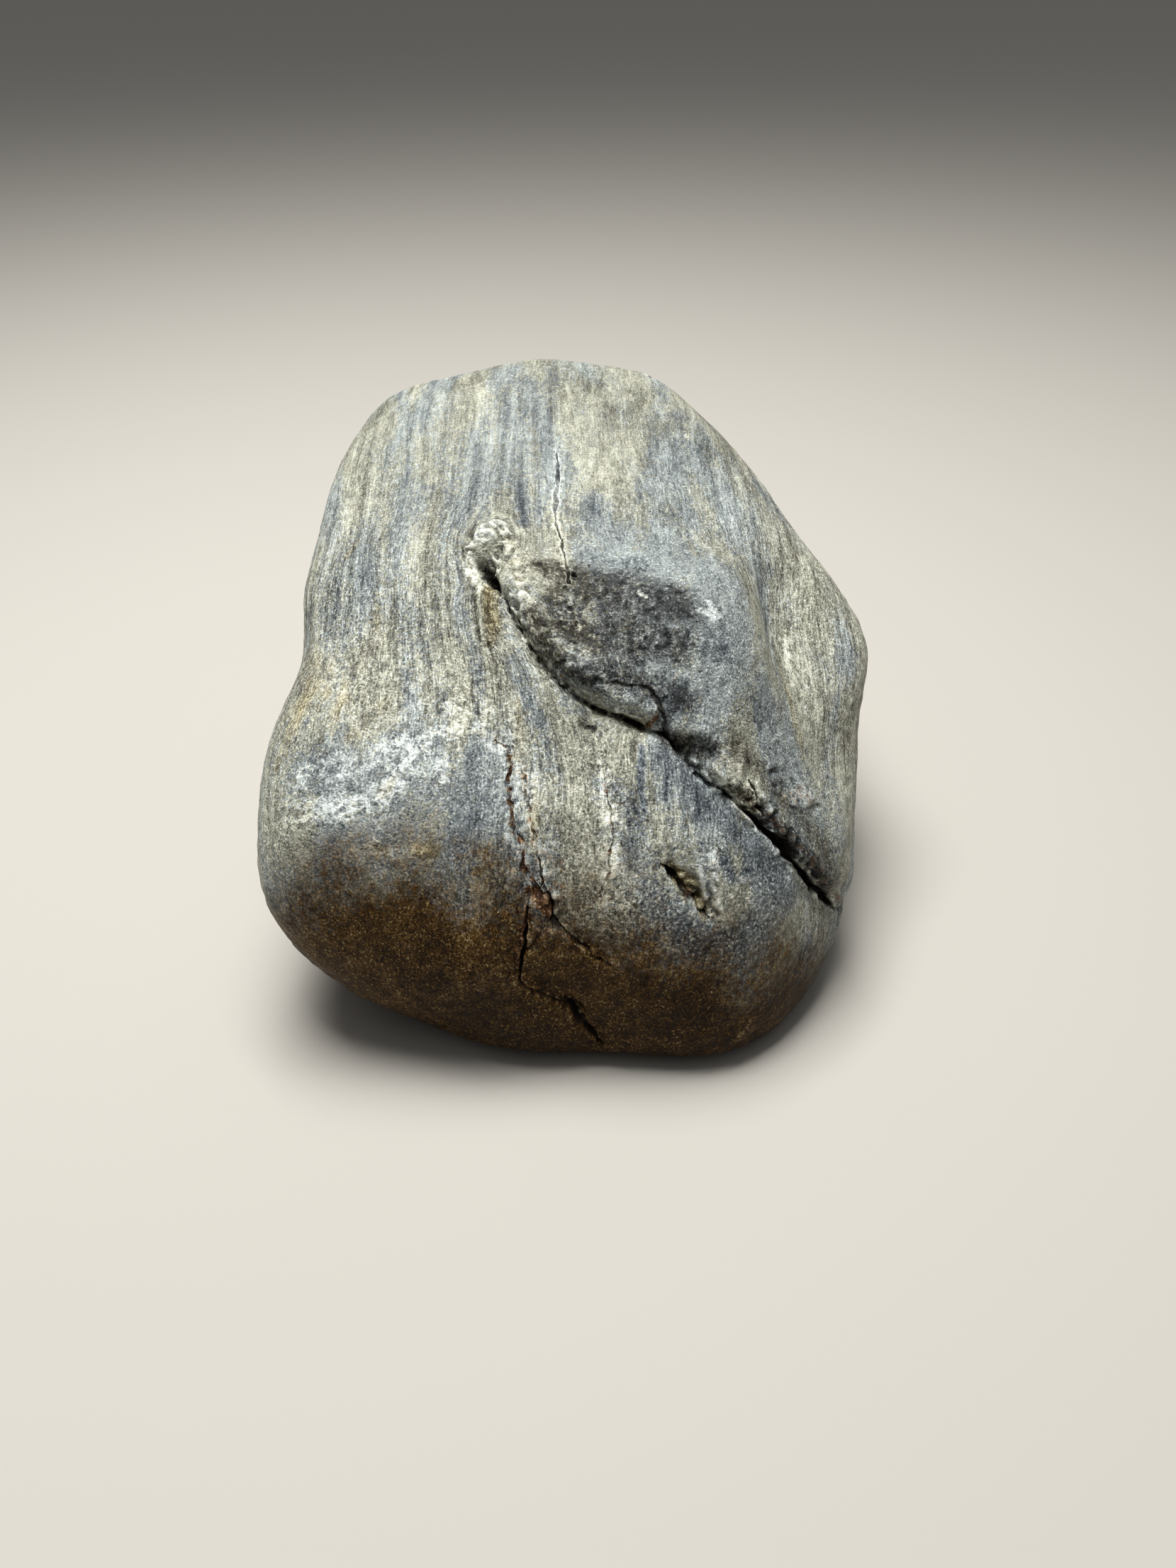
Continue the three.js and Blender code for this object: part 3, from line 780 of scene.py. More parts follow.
RUST_MARKS = [
    (0.5, [(-4.4, -37.8, 28.6, 1.0), (-2.6, -38.8, 27.6, 1.3), (-3.2, -40.1, 25.8, 1.4)]),
    (1.0, [(-6.4, -39.8, 25.2, 0.6), (-5.2, -40.6, 24.2, 0.7), (-4.0, -41.6, 22.8, 0.8)]),
    (0.7, [(-6.6, -40.8, 23.6, 0.5), (-7.4, -42.9, 19.6, 0.6), (-8.0, -43.9, 16.6, 0.5)]),
    (0.6, [(1.2, -23.4, 39.4, 0.8), (2.4, -23.8, 39.0, 0.7)]),
    (0.7, [(5.2, -24.7, 38.6, 0.8), (7.2, -25.4, 38.2, 0.8), (8.6, -25.6, 40.6, 0.6)]),
    (0.55, [
        (19.4, -31.4, 31.8, 0.5), (21.2, -31.5, 30.0, 0.8), (25.2, -31.5, 25.7, 0.9),
        (29.7, -30.3, 18.6, 1.2), (33.0, -27.0, 11.6, 1.6),
    ]),
    (0.5, [(24.2, -28.6, 29.7, 1.1), (26.4, -26.4, 28.9, 1.3), (28.4, -25.4, 27.2, 1.0)]),
    (0.6, [(17.6, -31.0, 33.2, 0.4), (18.6, -29.6, 35.0, 0.35)]),
    (0.5, [(-5.3, -19.4, 44.0, 0.6), (-1.4, -22.4, 41.9, 0.6)]),
    (0.6, [(10.2, -38.8, 26.8, 0.5), (11.6, -39.6, 25.4, 0.7), (13.0, -40.2, 23.6, 0.5)]),
]
# Soot with painted shade: the hole, the pits, and the band over the lower great split.
SOOT_AND_SHADE_MARKS = [
    (1.0, HOLE),
    (0.9, [(-0.3, -25.8, 38.7, 0.4), (1.3, -26.4, 38.2, 0.5)]),
    (0.8, [(6.9, -44.3, 14.4, 0.35), (7.5, -44.4, 15.1, 0.45)]),
    (0.8, [(1.2, -23.2, 39.5, 0.4), (2.4, -23.6, 39.1, 0.4)]),
    (0.9, [(5.2, -24.7, 38.6, 0.5), (6.6, -25.3, 38.2, 0.5)]),
    (0.5, [(-5.9, -8.9, 51.7, 0.6), (-4.9, -10.0, 51.0, 0.5)]),
    (0.35, [
        (-8.0, -12.6, 48.4, 0.8), (-5.0, -17.2, 45.6, 1.0), (-2.0, -20.6, 43.6, 1.1),
        (1.4, -22.2, 42.2, 0.9),
    ]),
    (0.5, [(-0.8, -10.8, 50.7, 0.5), (0.4, -14.0, 49.2, 0.6), (-0.6, -15.6, 48.4, 0.4)]),
    (0.8, [(19.6, -31.2, 29.9, 0.4), (20.6, -31.3, 28.9, 0.7), (21.4, -31.4, 28.2, 0.3)]),
    (0.9, [(22.4, -31.5, 27.2, 0.7), (23.8, -31.6, 25.8, 0.9), (24.8, -31.7, 24.6, 0.5)]),
    (0.7, [(26.6, -31.2, 22.4, 0.3), (28.2, -30.4, 19.4, 0.7), (30.0, -29.4, 16.2, 0.4)]),
]
print("ochre marks:", lay_stains("ochre", OCHRE_MARKS))
print("rust marks:", lay_stains("rust", RUST_MARKS))
print("soot marks:", lay_stains("soot", SOOT_AND_SHADE_MARKS))

# %% [markdown]
# ## The patch, the slate and painted shade
#
# A dark granular patch is left where bark once pressed in, and it is also painted shade on the
# lobe's flank over the great split. Slate streaks run where the silica is densest, and the broad
# slate marks are painted shade.

# %% Bark, slate and painted shade
# The dark patch, and painted shade on the lobe's flank along the great split.
PATCH_AND_SHADE_MARKS = [
    (0.9, [
        (-6.0, -9.4, 51.7, 1.1), (-3.8, -10.0, 51.3, 1.8), (-0.5, -11.5, 50.5, 2.4),
        (4.8, -14.5, 49.8, 4.6), (10.7, -16.4, 49.5, 3.2),
    ]),
    (0.85, [
        (-3.2, -14.3, 48.9, 2.2), (-0.3, -18.8, 46.9, 2.6), (5.0, -19.5, 47.2, 4.0),
        (10.4, -20.5, 46.5, 3.0),
    ]),
    (0.65, [(2.0, -22.2, 44.7, 2.2), (8.0, -24.6, 42.8, 2.8), (12.0, -25.2, 41.6, 2.2)]),
    (0.65, [
        (-6.6, -15.2, 48.4, 1.2), (-5.0, -18.2, 46.2, 1.8), (-2.6, -20.9, 44.6, 2.1),
        (0.6, -22.9, 43.4, 2.0), (4.0, -23.8, 42.4, 1.8),
    ]),
    (0.8, [
        (9.7, -27.4, 37.8, 0.9), (11.8, -27.8, 37.2, 1.5), (13.6, -28.6, 37.4, 1.6),
        (15.2, -29.0, 37.2, 1.1),
    ]),
    (0.75, [
        (17.6, -31.2, 33.5, 0.8), (21.2, -31.5, 30.0, 1.4), (25.2, -31.5, 25.7, 1.6),
        (29.7, -30.3, 18.6, 1.4),
    ]),
    (0.5, [
        (17.5, -27.4, 37.6, 2.2), (21.0, -28.4, 34.0, 2.6), (24.6, -28.8, 29.6, 2.8),
        (28.0, -29.0, 24.4, 2.8), (30.2, -29.0, 18.6, 2.4),
    ]),
    (0.2, [
        (-31.2, -38.6, 28.0, 2.4), (-26.2, -39.3, 28.2, 2.2), (-16.5, -39.0, 28.4, 2.2),
        (-11.5, -38.4, 28.4, 2.4),
    ]),
]
# Slate streaks, and broad marks that are painted shade.
SLATE_AND_SHADE_MARKS = [
    (0.9, [(6.8, -28.7, 37.3, 0.4), (6.6, -31.9, 35.0, 0.5), (6.9, -35.1, 32.3, 0.4)]),
    (0.8, [(9.6, -30.3, 35.9, 0.35), (9.4, -33.7, 33.3, 0.4)]),
    (0.9, [(13.1, -31.3, 33.8, 0.35), (13.2, -33.0, 32.6, 0.45), (13.2, -34.8, 31.4, 0.35)]),
    (0.7, [(14.3, -31.2, 33.4, 0.3), (14.5, -33.6, 31.8, 0.35)]),
    (0.7, [(5.8, -33.9, 33.5, 0.35), (6.2, -36.1, 31.5, 0.35)]),
    (0.8, [(16.2, -37.4, 27.5, 0.8), (17.3, -38.3, 25.6, 0.7)]),
    (0.7, [(18.8, -37.5, 25.6, 0.7), (19.6, -36.4, 25.8, 0.6)]),
    (0.5, [(-12.6, -29.5, 36.4, 2.2), (-11.4, -34.0, 33.0, 2.6), (-14.0, -36.5, 31.0, 2.2)]),
    (0.3, [
        (-32.6, -30.2, 35.8, 3.0), (-26.5, -32.4, 35.4, 4.0), (-18.4, -32.0, 35.1, 4.5),
        (-13.5, -32.9, 33.8, 4.0),
    ]),
    (0.3, [(-27.0, -36.8, 31.4, 3.0), (-21.4, -37.4, 31.0, 3.0)]),
    (0.5, [(8.0, -40.5, 25.0, 2.0), (13.0, -42.3, 20.0, 2.6), (19.0, -41.0, 18.5, 2.6)]),
    (0.6, [(14.5, -20.5, 45.8, 1.2), (17.0, -19.5, 45.5, 1.3)]),
    (0.6, [(9.5, -27.5, 39.5, 0.8), (12.0, -24.0, 43.5, 0.9)]),
    (0.5, [(20.0, -21.0, 41.5, 0.9), (22.0, -24.5, 37.0, 1.0)]),
    (0.4, [(6.0, -32.5, 34.4, 1.2), (6.4, -36.0, 31.6, 1.5), (6.6, -39.5, 27.4, 1.5)]),
    (0.35, [(15.0, -17.0, 47.0, 4.0), (21.0, -22.0, 40.0, 5.0), (26.0, -25.5, 30.0, 4.5)]),
    (0.6, [
        (9.5, -29.4, 36.4, 1.8), (13.5, -32.2, 33.0, 2.4), (17.5, -34.0, 29.4, 2.6),
        (21.5, -35.0, 25.0, 2.6), (25.0, -35.0, 20.0, 2.4),
    ]),
    (0.6, [(-8.5, 3.0, 57.8, 0.7), (-8.0, -3.0, 55.2, 0.9)]),
    (0.5, [(1.5, -1.0, 56.5, 2.6), (3.5, -6.0, 53.8, 2.6)]),
    (0.35, [(13.5, 2.0, 52.4, 2.4), (13.4, -4.0, 52.2, 2.8), (13.6, -9.8, 51.2, 2.4)]),
    (0.5, [(0.5, -7.9, 52.4, 1.4), (3.1, -9.6, 51.7, 1.8), (6.7, -9.4, 52.0, 1.6)]),
    (0.45, [(-8.8, -19.8, 44.1, 0.8), (-7.0, -23.7, 41.5, 1.0), (-5.3, -26.1, 39.1, 0.8)]),
    (0.4, [(1.5, -32.0, 34.9, 1.2), (4.6, -33.5, 33.8, 1.4), (5.4, -38.0, 29.2, 1.4)]),
]
print("patch marks:", lay_stains("patch", PATCH_AND_SHADE_MARKS))
print("slate marks:", lay_stains("slate", SLATE_AND_SHADE_MARKS))

# %% [markdown]
# ## The feel of the skin
#
# Two more layers hold no colour. They say where the skin is sugary, with pale grains that are
# also painted glints, and where it is granular and has lost the lines of its fibres.

# %% Sugary and granular skin
# Where the skin is sugary, with painted glints.
SUGARY_AND_GLINT_MARKS = [
    (1.0, [
        (2.4, -42.5, 22.5, 3.5), (7.9, -41.8, 23.8, 4.5), (12.0, -42.5, 20.7, 4.5),
        (16.9, -41.9, 18.2, 4.5),
    ]),
    (0.9, [(15.6, -38.0, 27.5, 3.0), (21.0, -39.1, 19.5, 4.5), (22.8, -36.5, 22.4, 4.0)]),
    (0.5, [(2.6, -31.0, 35.6, 3.0), (3.4, -36.0, 32.0, 4.0)]),
]
GRANULAR_MARKS = [
    (0.95, [
        (-3.0, -9.0, 51.0, 3.5), (5.0, -13.0, 49.5, 8.0), (14.0, -18.0, 44.5, 9.0),
        (24.0, -24.0, 34.0, 8.0), (30.0, -27.0, 22.0, 6.0),
    ]),
    (0.8, [
        (14.0, -14.0, 48.0, 4.5), (20.0, -18.0, 43.0, 5.0), (26.0, -22.0, 34.0, 5.0),
        (30.0, -24.0, 26.0, 4.5),
    ]),
    (0.85, [(12.0, -40.0, 25.0, 4.5), (21.0, -38.0, 21.0, 7.0)]),
    (0.85, [(-31.0, -34.5, 32.0, 6.5), (-19.0, -36.5, 31.5, 6.0)]),
]
print("sugary marks:", lay_stains("sugary", SUGARY_AND_GLINT_MARKS))
print("granular marks:", lay_stains("granular", GRANULAR_MARKS))

# %% [markdown]
# ## Mud, painted shade and wear
#
# A brown patina lies low on the blunt end, where the stone lay in mud. It is also painted shade
# and painted warm reflected light, darker and browner where that end turns away from the light.
# It starts where that end turns down, and wraps the lower rim. The foot is darkened with painted
# shade and the crown is worn, so these three layers are worked out from each point's place alone.

# %% Patina, painted shade and wear
MUD_AND_SHADE_LINE = [                     # x across the blunt end, and the height there of the edge of the patina and its painted shade
    (-40, 17), (-35, 23.5), (-28, 29), (-18, 29.5), (-8, 26.5), (2, 25), (8, 22.5), (16, 18),
    (25, 15), (34, 10),
]
BLUNT_END = -37                  # mm, behind this the edge of the patina and its painted shade runs down
RUN_DOWN, RUN_STEEP = 12, 1.2    # over so many mm, this steeply
LAPS, LAP_HEIGHT = 6.0, 4.0      # mm, the size and height of the laps in the edge of the patina and its painted shade
PATINA_AND_SHADE_FADE = 16.0               # mm over which the patina and its painted shade thin out
FOOT_SHADE_HEIGHT = 16                   # mm over which painted shade darkens the skin towards the foot
WORN_FROM, WORN_OVER = 47, 12    # mm, the height where the worn crown starts, and its fade

across, along, height = skin.points.T
# Below this line the blunt end is painted brown: mud, and painted shade with warm reflected light.
mud_and_shade_line = np.interp(across, *np.transpose(MUD_AND_SHADE_LINE))
mud_and_shade_line = mud_and_shade_line - np.clip(along - BLUNT_END, 0, RUN_DOWN) * RUN_STEEP
mud_and_shade_line = mud_and_shade_line + LAP_HEIGHT * ripple(skin.points, LAPS, 1.9)
patina = np.clip(0.5 + (mud_and_shade_line - height) / PATINA_AND_SHADE_FADE, 0, 1)
skin.stain("patina", np.arange(len(height)), patina)
# Painted shade, darkest at the foot.
skin.stain("damp", np.arange(len(height)), np.clip(1 - height / FOOT_SHADE_HEIGHT, 0, 1))
skin.stain("worn", np.arange(len(height)), np.clip((height - WORN_FROM) / WORN_OVER, 0, 1))
print("stain layers:", {name: int((layer > 0.3).sum()) for name, layer in skin.stains.items()})

# %% [markdown]
# ## The way the fibres run
#
# The fibres of the old wood run lengthwise and bend down with the stone's back, so streaks follow
# its long side and the blunt end shows end grain. They part around the knot as water parts round
# a post, and they lie along the great split on its lower side. Rather than bend the pattern in
# the material, each point is given its place in the straight trunk it came from, and the
# material reads that.

# %% Comb the fibres
KNOT = np.array([-11.8, -5.5])
KNOT_REACH = 3.2                 # mm
SPLIT_START = np.array([-11.2, -9.0])
SPLIT_WAY = np.array([0.72, -0.694])
COMBED = 4.5                     # mm from the split over which the fibres lie along it
COMBED_TO = 26                   # mm along the split, from where they run straight again
COMBED_SHARE = 0.8               # how nearly they lie along it
WAVES, WAVE_HEIGHT = (9, 16, 9), 0.8        # mm, the slow waves in all the fibres
BACK_LINE = [                    # y and z of the stone's back, from the blunt end to the far end
    (-45, 25), (-38, 30.5), (-30, 37), (-20, 44), (-10, 50), (0, 55.5), (10, 60), (20, 63.5),
    (40, 63),
]


def comb_fibres(points):
    in_trunk = points.copy()
    from_knot = points[:, :2] - KNOT
    squared = (from_knot**2).sum(axis=1) + 1.0
    in_trunk[:, 0] -= from_knot[:, 0] * np.minimum(KNOT_REACH**2 / squared, 0.85)
    from_split = points[:, :2] - SPLIT_START
    along_split = from_split @ SPLIT_WAY
    off_split = from_split @ np.array([SPLIT_WAY[1], -SPLIT_WAY[0]])
    share = np.exp(-((off_split / COMBED) ** 2)) * np.clip((along_split + 2) / 6, 0, 1)
    share *= np.clip((COMBED_TO - along_split) / 10, 0, 1) * np.clip(off_split / 2 + 1, 0, 1)
    share *= COMBED_SHARE
    in_trunk[:, 0] = in_trunk[:, 0] * (1 - share) + off_split * share
    in_trunk[:, 2] -= np.interp(points[:, 1], *np.transpose(BACK_LINE))
    in_trunk[:, 0] += WAVE_HEIGHT * ripple(points, WAVES, 8.8)
    in_trunk[:, 2] += WAVE_HEIGHT * ripple(points, WAVES, 3.3)
    return in_trunk


in_trunk = comb_fibres(skin.points)
print("fibres moved by up to", np.abs(in_trunk - skin.points).max().round(1), "mm")

# %% Put the carved skin back
def write_layer(mesh, name, values):
    kind = "FLOAT" if values.ndim == 1 else "FLOAT_VECTOR"
    layer = mesh.attributes.new(name, kind, "POINT")
    layer.data.foreach_set("value" if values.ndim == 1 else "vector", values.ravel())


skin.points[:, 2] = np.maximum(skin.points[:, 2], 0)
stone.data.vertices.foreach_set("co", (skin.points * MM).ravel())
for name, values in skin.stains.items():
    write_layer(stone.data, name, np.clip(values, 0, 1))
write_layer(stone.data, "in_trunk", in_trunk)
stone.data.update()
laid = [layer.name for layer in stone.data.attributes if not layer.is_internal]
print("layers on the stone:", laid)

# %% [markdown]
# ## Fine relief
#
# Weather leaves softer fibres a little lower than hard ones, and opens a granular surface where
# the wood was rotten. Displace modifiers with a cloud texture do this as a hand would with a
# texturing brush. An empty that is scaled to the size of one grain stretches the clouds, and a
# vertex group keeps the foot flat.

# %% Roughen the skin
FOOT_FREE = 3.0                  # mm above the foot where the relief is whole
GAUGE_PLACE = (3, 5, 7)          # mm, off the stone's middle, so that no cloud is centred there


def vertex_group(piece, name, weights):
    group = piece.vertex_groups.new(name=name)
    for number, weight in enumerate(weights):
        group.add([number], float(weight), "REPLACE")
    return name


def roughen(piece, name, grain, height, group, depth=2):
    texture = bpy.data.textures.new(name, "CLOUDS")
    texture.noise_scale = 1.0
    texture.noise_depth = depth
    bpy.ops.object.select_all(action="DESELECT")
    bpy.ops.object.empty_add(location=[side * MM for side in GAUGE_PLACE])
    gauge = bpy.context.object
    gauge.scale = [size * MM for size in grain]
    bpy.context.view_layer.update()
    relief = piece.modifiers.new(name, "DISPLACE")
    relief.texture = texture
    relief.texture_coords = "OBJECT"
    relief.texture_coords_object = gauge
    relief.mid_level = 0.5
    relief.strength = height * MM
    relief.vertex_group = group
    bpy.context.view_layer.objects.active = piece
    bpy.ops.object.modifier_apply(modifier=relief.name)
    bpy.data.objects.remove(gauge)


free = np.clip(skin.points[:, 2] / FOOT_FREE, 0, 1)
everywhere = vertex_group(stone, "clear of the foot", free)
torn = np.clip(skin.stains["patch"] + 0.5 * patina, 0, 1)
rough_places = vertex_group(stone, "rough places", free * torn)
# Each relief is the size of one grain along x, y and z, and a height, in mm.
roughen(stone, "fibre ridges", (1.5, 16.0, 1.5), 0.3, everywhere)
roughen(stone, "grains", (1.3, 1.6, 1.3), 0.14, everywhere)
roughen(stone, "torn grains", (1.4, 1.4, 1.4), 0.5, rough_places, depth=3)
print("stone now, mm:", [round(side / MM, 2) for side in stone.dimensions])

# %% [markdown]
# ## Hollows and crests
#
# The value is raised on crests and lowered in hollows. How much each point stands over its
# neighbours is worked out from the finished mesh itself, once all the relief is on it, and is
# kept as one more layer. A baked map would do the same, but it would be an image tied to a UV
# map.

# %% Find the hollows and crests
def crest_of(mesh, rounds=2):
    """How far each point stands out over the points it shares an edge with, in mm."""
    count = len(mesh.vertices)
    spots, normals = np.empty(count * 3), np.empty(count * 3)
    ends = np.empty(len(mesh.edges) * 2, int)
    mesh.vertices.foreach_get("co", spots)
    mesh.vertices.foreach_get("normal", normals)
    mesh.edges.foreach_get("vertices", ends)
    spots, normals = spots.reshape(-1, 3) / MM, normals.reshape(-1, 3)
    a, b = ends.reshape(-1, 2).T
    edges = np.maximum(np.bincount(a, minlength=count) + np.bincount(b, minlength=count), 1)

    def over_edges(values):
        return (np.bincount(a, values[b], count) + np.bincount(b, values[a], count)) / edges

    middle = np.stack([over_edges(spots[:, axis]) for axis in range(3)], axis=1)
    stands = ((spots - middle) * normals).sum(axis=1)
    length = np.linalg.norm(spots[a] - spots[b], axis=1)
    reach = (np.bincount(a, length, count) + np.bincount(b, length, count)) / edges
    crest = stands / reach**2
    for _ in range(rounds):
        crest = 0.5 * crest + 0.5 * over_edges(crest)
    return crest


crest = crest_of(stone.data)
write_layer(stone.data, "crest", np.clip(crest, -1, 1))
print("crest and hollow, 1/mm:", np.percentile(crest, (1, 50, 99)).round(2))

# %% [markdown]
# ## Silicified wood: its patterns
#
# The material is chalcedony, a fine-grained quartz, with a refractive index of about 1.54. River
# wear leaves it half matt. Its cells are some 0.05 mm across, too fine to show, so the fibres and
# grains are drawn 0.2 to 0.5 mm wide. All of it starts from noise of a few sizes. What grew with
# the wood lies on the trunk and is stretched along its fibres, and what water and iron did lies
# on the stone as it is now. A long chain of nodes is hard to read as code, so each pattern, edge
# and coat is one row of a table, and a short loop adds its nodes.

# %% Lay out the patterns
# Each pattern: what it lies on, the size of its grain in mm along x, y and z, its detail,
# roughness and twist. They run from the widest to the finest.
PATTERNS = {
    "mottling": ("stone", (10, 15, 10), 3, 0.5, 0.6),
    "coolness": ("trunk", (6, 22, 6), 3, 0.5, 0.4),
    "bands": ("trunk", (1.6, 30, 1.6), 3, 0.5, 0),
    "clots": ("stone", (1.3, 1.3, 1.3), 4, 0.65, 0),
    "net noise": ("stone", (1.3, 1.3, 1.3), 3, 0.5, 0.5),
    "crumbs": ("stone", (0.75, 0.75, 0.75), 3, 0.6, 0),
    "worm noise": ("trunk", (0.55, 1.5, 0.55), 2, 0.5, 0),
    "fibres": ("trunk", (0.5, 12, 0.5), 3, 0.6, 0),
    "cool grains": ("stone", (0.5, 0.5, 0.5), 1, 0.5, 0),
    "sugar grains": ("stone", (0.42, 0.42, 0.42), 2, 0.7, 0),
    "grains": ("stone", (0.26, 0.26, 0.26), 2, 0.6, 0),
    "dashes": ("trunk", (0.2, 1.7, 0.2), 2, 0.6, 0),
}
# Thin wandering lines, where a noise crosses its middle: the noise, and how wide a line is.
LINES = {"worms": ("worm noise", 0.07), "net": ("net noise", 0.055)}
SOFT = {"interpolation_type": "SMOOTHSTEP"}      # a step that starts and ends gently

wood, tree = new_material("silicified wood, river worn")
place = add(tree, "ShaderNodeTexCoord").outputs["Object"]
place = add(tree, "ShaderNodeVectorMath", {"operation": "SCALE"}, {0: place, "Scale": 1 / MM})
trunk = add(tree, "ShaderNodeAttribute", {"attribute_name": "in_trunk"})
lies_on = {"stone": place.outputs[0], "trunk": trunk.outputs["Vector"]}

sheet = {}                       # every pattern, stain, edge and mask by its name
for name, (ground, grain, detail, rough, twist) in PATTERNS.items():
    feeds = {0: lies_on[ground], 1: [1 / side for side in grain]}
    scaled = add(tree, "ShaderNodeVectorMath", {"operation": "MULTIPLY"}, feeds)
    feeds = {"Vector": scaled.outputs[0], "Scale": 1, "Detail": detail, "Roughness": rough}
    feeds["Distortion"] = twist
    sheet[name] = add(tree, "ShaderNodeTexNoise", feeds=feeds).outputs["Fac"]
for name, (source, width) in LINES.items():
    off = add(tree, "ShaderNodeMath", {"operation": "SUBTRACT"}, {0: sheet[source], 1: 0.5})
    off = add(tree, "ShaderNodeMath", {"operation": "ABSOLUTE"}, {0: off.outputs[0]})
    feeds = {0: off.outputs[0], 1: width, 2: 0}
    sheet[name] = add(tree, "ShaderNodeMapRange", SOFT, feeds).outputs[0]
for name in [*skin.stains, "crest"]:
    sheet[name] = add(tree, "ShaderNodeAttribute", {"attribute_name": name}).outputs["Fac"]
print("patterns, lines and stains:", len(sheet))

# %% [markdown]
# ## Edges and masks
#
# A stain that fades evenly looks sprayed on. A real one creeps from grain to grain, so finer
# patterns are added to each stain before a soft step cuts its edge. The same step picks the
# palest or darkest grains out of a pattern. A mask then holds a pattern back where the stone
# does not show it: fibres are lost in granular places, and the worn crown is rubbed smooth.

# %% Break up the edges
def stir_in(value, name, weight, middle=0.5, mask=None):
    """Adds a pattern to a value, up and down from the pattern's middle, where its mask lets it."""
    if mask:
        feeds = {0: sheet[mask], 1: weight}
        weight = add(tree, "ShaderNodeMath", {"operation": "MULTIPLY"}, feeds).outputs[0]
    feeds = {0: sheet[name], 1: middle}
    centred = add(tree, "ShaderNodeMath", {"operation": "SUBTRACT"}, feeds).outputs[0]
    feeds = {0: centred, 1: weight, 2: value}
    return add(tree, "ShaderNodeMath", {"operation": "MULTIPLY_ADD"}, feeds).outputs[0]


# Each edge: the stain or pattern, what breaks it up (a pattern, its weight and its middle if
# that isn't 0.5), and where the edge starts and is whole.
EDGES = {
    # The patch's edge: dark bark, and painted shade over the great split.
    "bark": ("patch", [("clots", 1.3)], 0.15, 0.75),
    # The mud edge: patina, with painted shade and painted warm reflected light.
    "mud": ("patina", [("clots", 0.7), ("crumbs", 0.8), ("grains", 0.9)], 0.15, 0.95),
    "dried bloom": ("bloom", [("clots", 1.0), ("crumbs", 0.8), ("net", 0.3, 0.25)], 0.35, 1.1),
    "pale crumbs": ("pale", [("crumbs", 1.3)], 0.25, 0.75),
    "slate streaks": ("slate", [("fibres", 1.3)], 0.3, 0.9),
    "ochre streaks": ("ochre", [("bands", 1.3)], 0.2, 0.9),
    "rusty crumbs": ("rust", [("crumbs", 1.3)], 0.3, 0.8),
    # Soot and painted shade in the splits, the hole and the pits.
    "sooty grains": ("soot", [("grains", 1.3)], 0.35, 0.9),
    # The slate layer, partly painted shade, also cools the grey.
    "cool places": ("coolness", [("cool grains", 0.5), ("slate", 0.4, 0)], 0.42, 0.64),
    "palest grains": ("grains", [], 0.56, 0.68),
    "darkest grains": ("grains", [], 0.42, 0.32),
    # Painted glints: the palest sugary grains made brighter.
    "palest sugar": ("sugar grains", [], 0.58, 0.7),
    "pits": ("crumbs", [], 0.44, 0.34),
    "pits in the bark": ("crumbs", [], 0.46, 0.36),
    "crumbs in the bark": ("crumbs", [], 0.56, 0.66),
}
# Each mask: an operation and what goes into it.
MASKS = {
    "fibrous": ("SUBTRACT", 1, "granular"),
    "fresh": ("MULTIPLY_ADD", "worn", -0.45, 1),
    "fresh fibres": ("MULTIPLY", "fibrous", "fresh"),
    "sugar": ("MULTIPLY", "sugary", "fresh"),
    "ochre in the bark": ("MULTIPLY", "bark", 0.15),
}
for name, (stain, breakers, start, whole) in EDGES.items():
    edge = sheet[stain]
    for breaker in breakers:
        edge = stir_in(edge, *breaker)
    sheet[name] = add(tree, "ShaderNodeMapRange", SOFT, {0: edge, 1: start, 2: whole}).outputs[0]
for name, (operation, *terms) in MASKS.items():
    feeds = {slot: sheet.get(term, term) for slot, term in enumerate(terms)}
    sheet[name] = add(tree, "ShaderNodeMath", {"operation": operation}, feeds).outputs[0]
print("edges and masks:", len(EDGES) + len(MASKS))

# %% [markdown]
# ## One value from dark to pale
#
# All the patterns and stains first meet in one value, from 0 for the darkest skin to 1 for the
# palest. It picks its colour only afterwards, from palettes. Mixing finished colours instead
# would wash the grain out under each stain.

# %% Build up the value
PLAIN_SKIN = 0.575
# Each row: a pattern, its weight, its middle, and its mask.
VALUE = [
    ("mottling", 0.36),
    # The patina row darkens the blunt end with painted shade, and the foot row is painted shade.
    ("patina", -0.1, 0), ("damp", -0.22, 0), ("worn", -0.01, 0), ("bloom", -0.03, 0),
    # A little paler where the skin is sugary and glints are painted.
    ("sugar", 0.02, 0),
    ("bands", 0.5, 0.5, "fibrous"),
    ("fibres", 0.55, 0.5, "fresh fibres"),
    ("dashes", 0.5, 0.5, "fresh fibres"),
    ("worms", 0.16, 0.3, "fresh fibres"),
    ("grains", 0.4, 0.5, "fresh"),
    ("clots", 0.45, 0.5, "fresh"),
    ("palest grains", 0.2, 0.1, "fresh"),
    # Sugary grains, pale and painted bright as glints.
    ("sugar grains", 1.0, 0.5, "sugar"),
    ("palest sugar", 0.25, 0.05, "sugar"),
    ("darkest grains", -0.12, 0.1, "fresh"),
    ("grains", 0.5, 0.5, "mud"),
    # Paler on crests and darker in hollows.
    ("crest", 0.3, 0),
    ("pits", -0.16, 0.1, "granular"),
    # Darkens the patch: dark bark, and painted shade over the great split.
    ("bark", -0.32, 0),
    ("clots", 0.6, 0.5, "bark"),
    ("pits in the bark", -0.2, 0.1, "bark"),
    ("crumbs in the bark", 0.2, 0.05, "bark"),
    # The whole slate layer darkens the value: painted shade where its marks are broad.
    ("slate", -0.08, 0), ("slate streaks", -0.12, 0), ("ochre streaks", -0.08, 0),
    ("pale crumbs", 0.3, 0), ("dried bloom", 0.42, 0),
]
value = PLAIN_SKIN
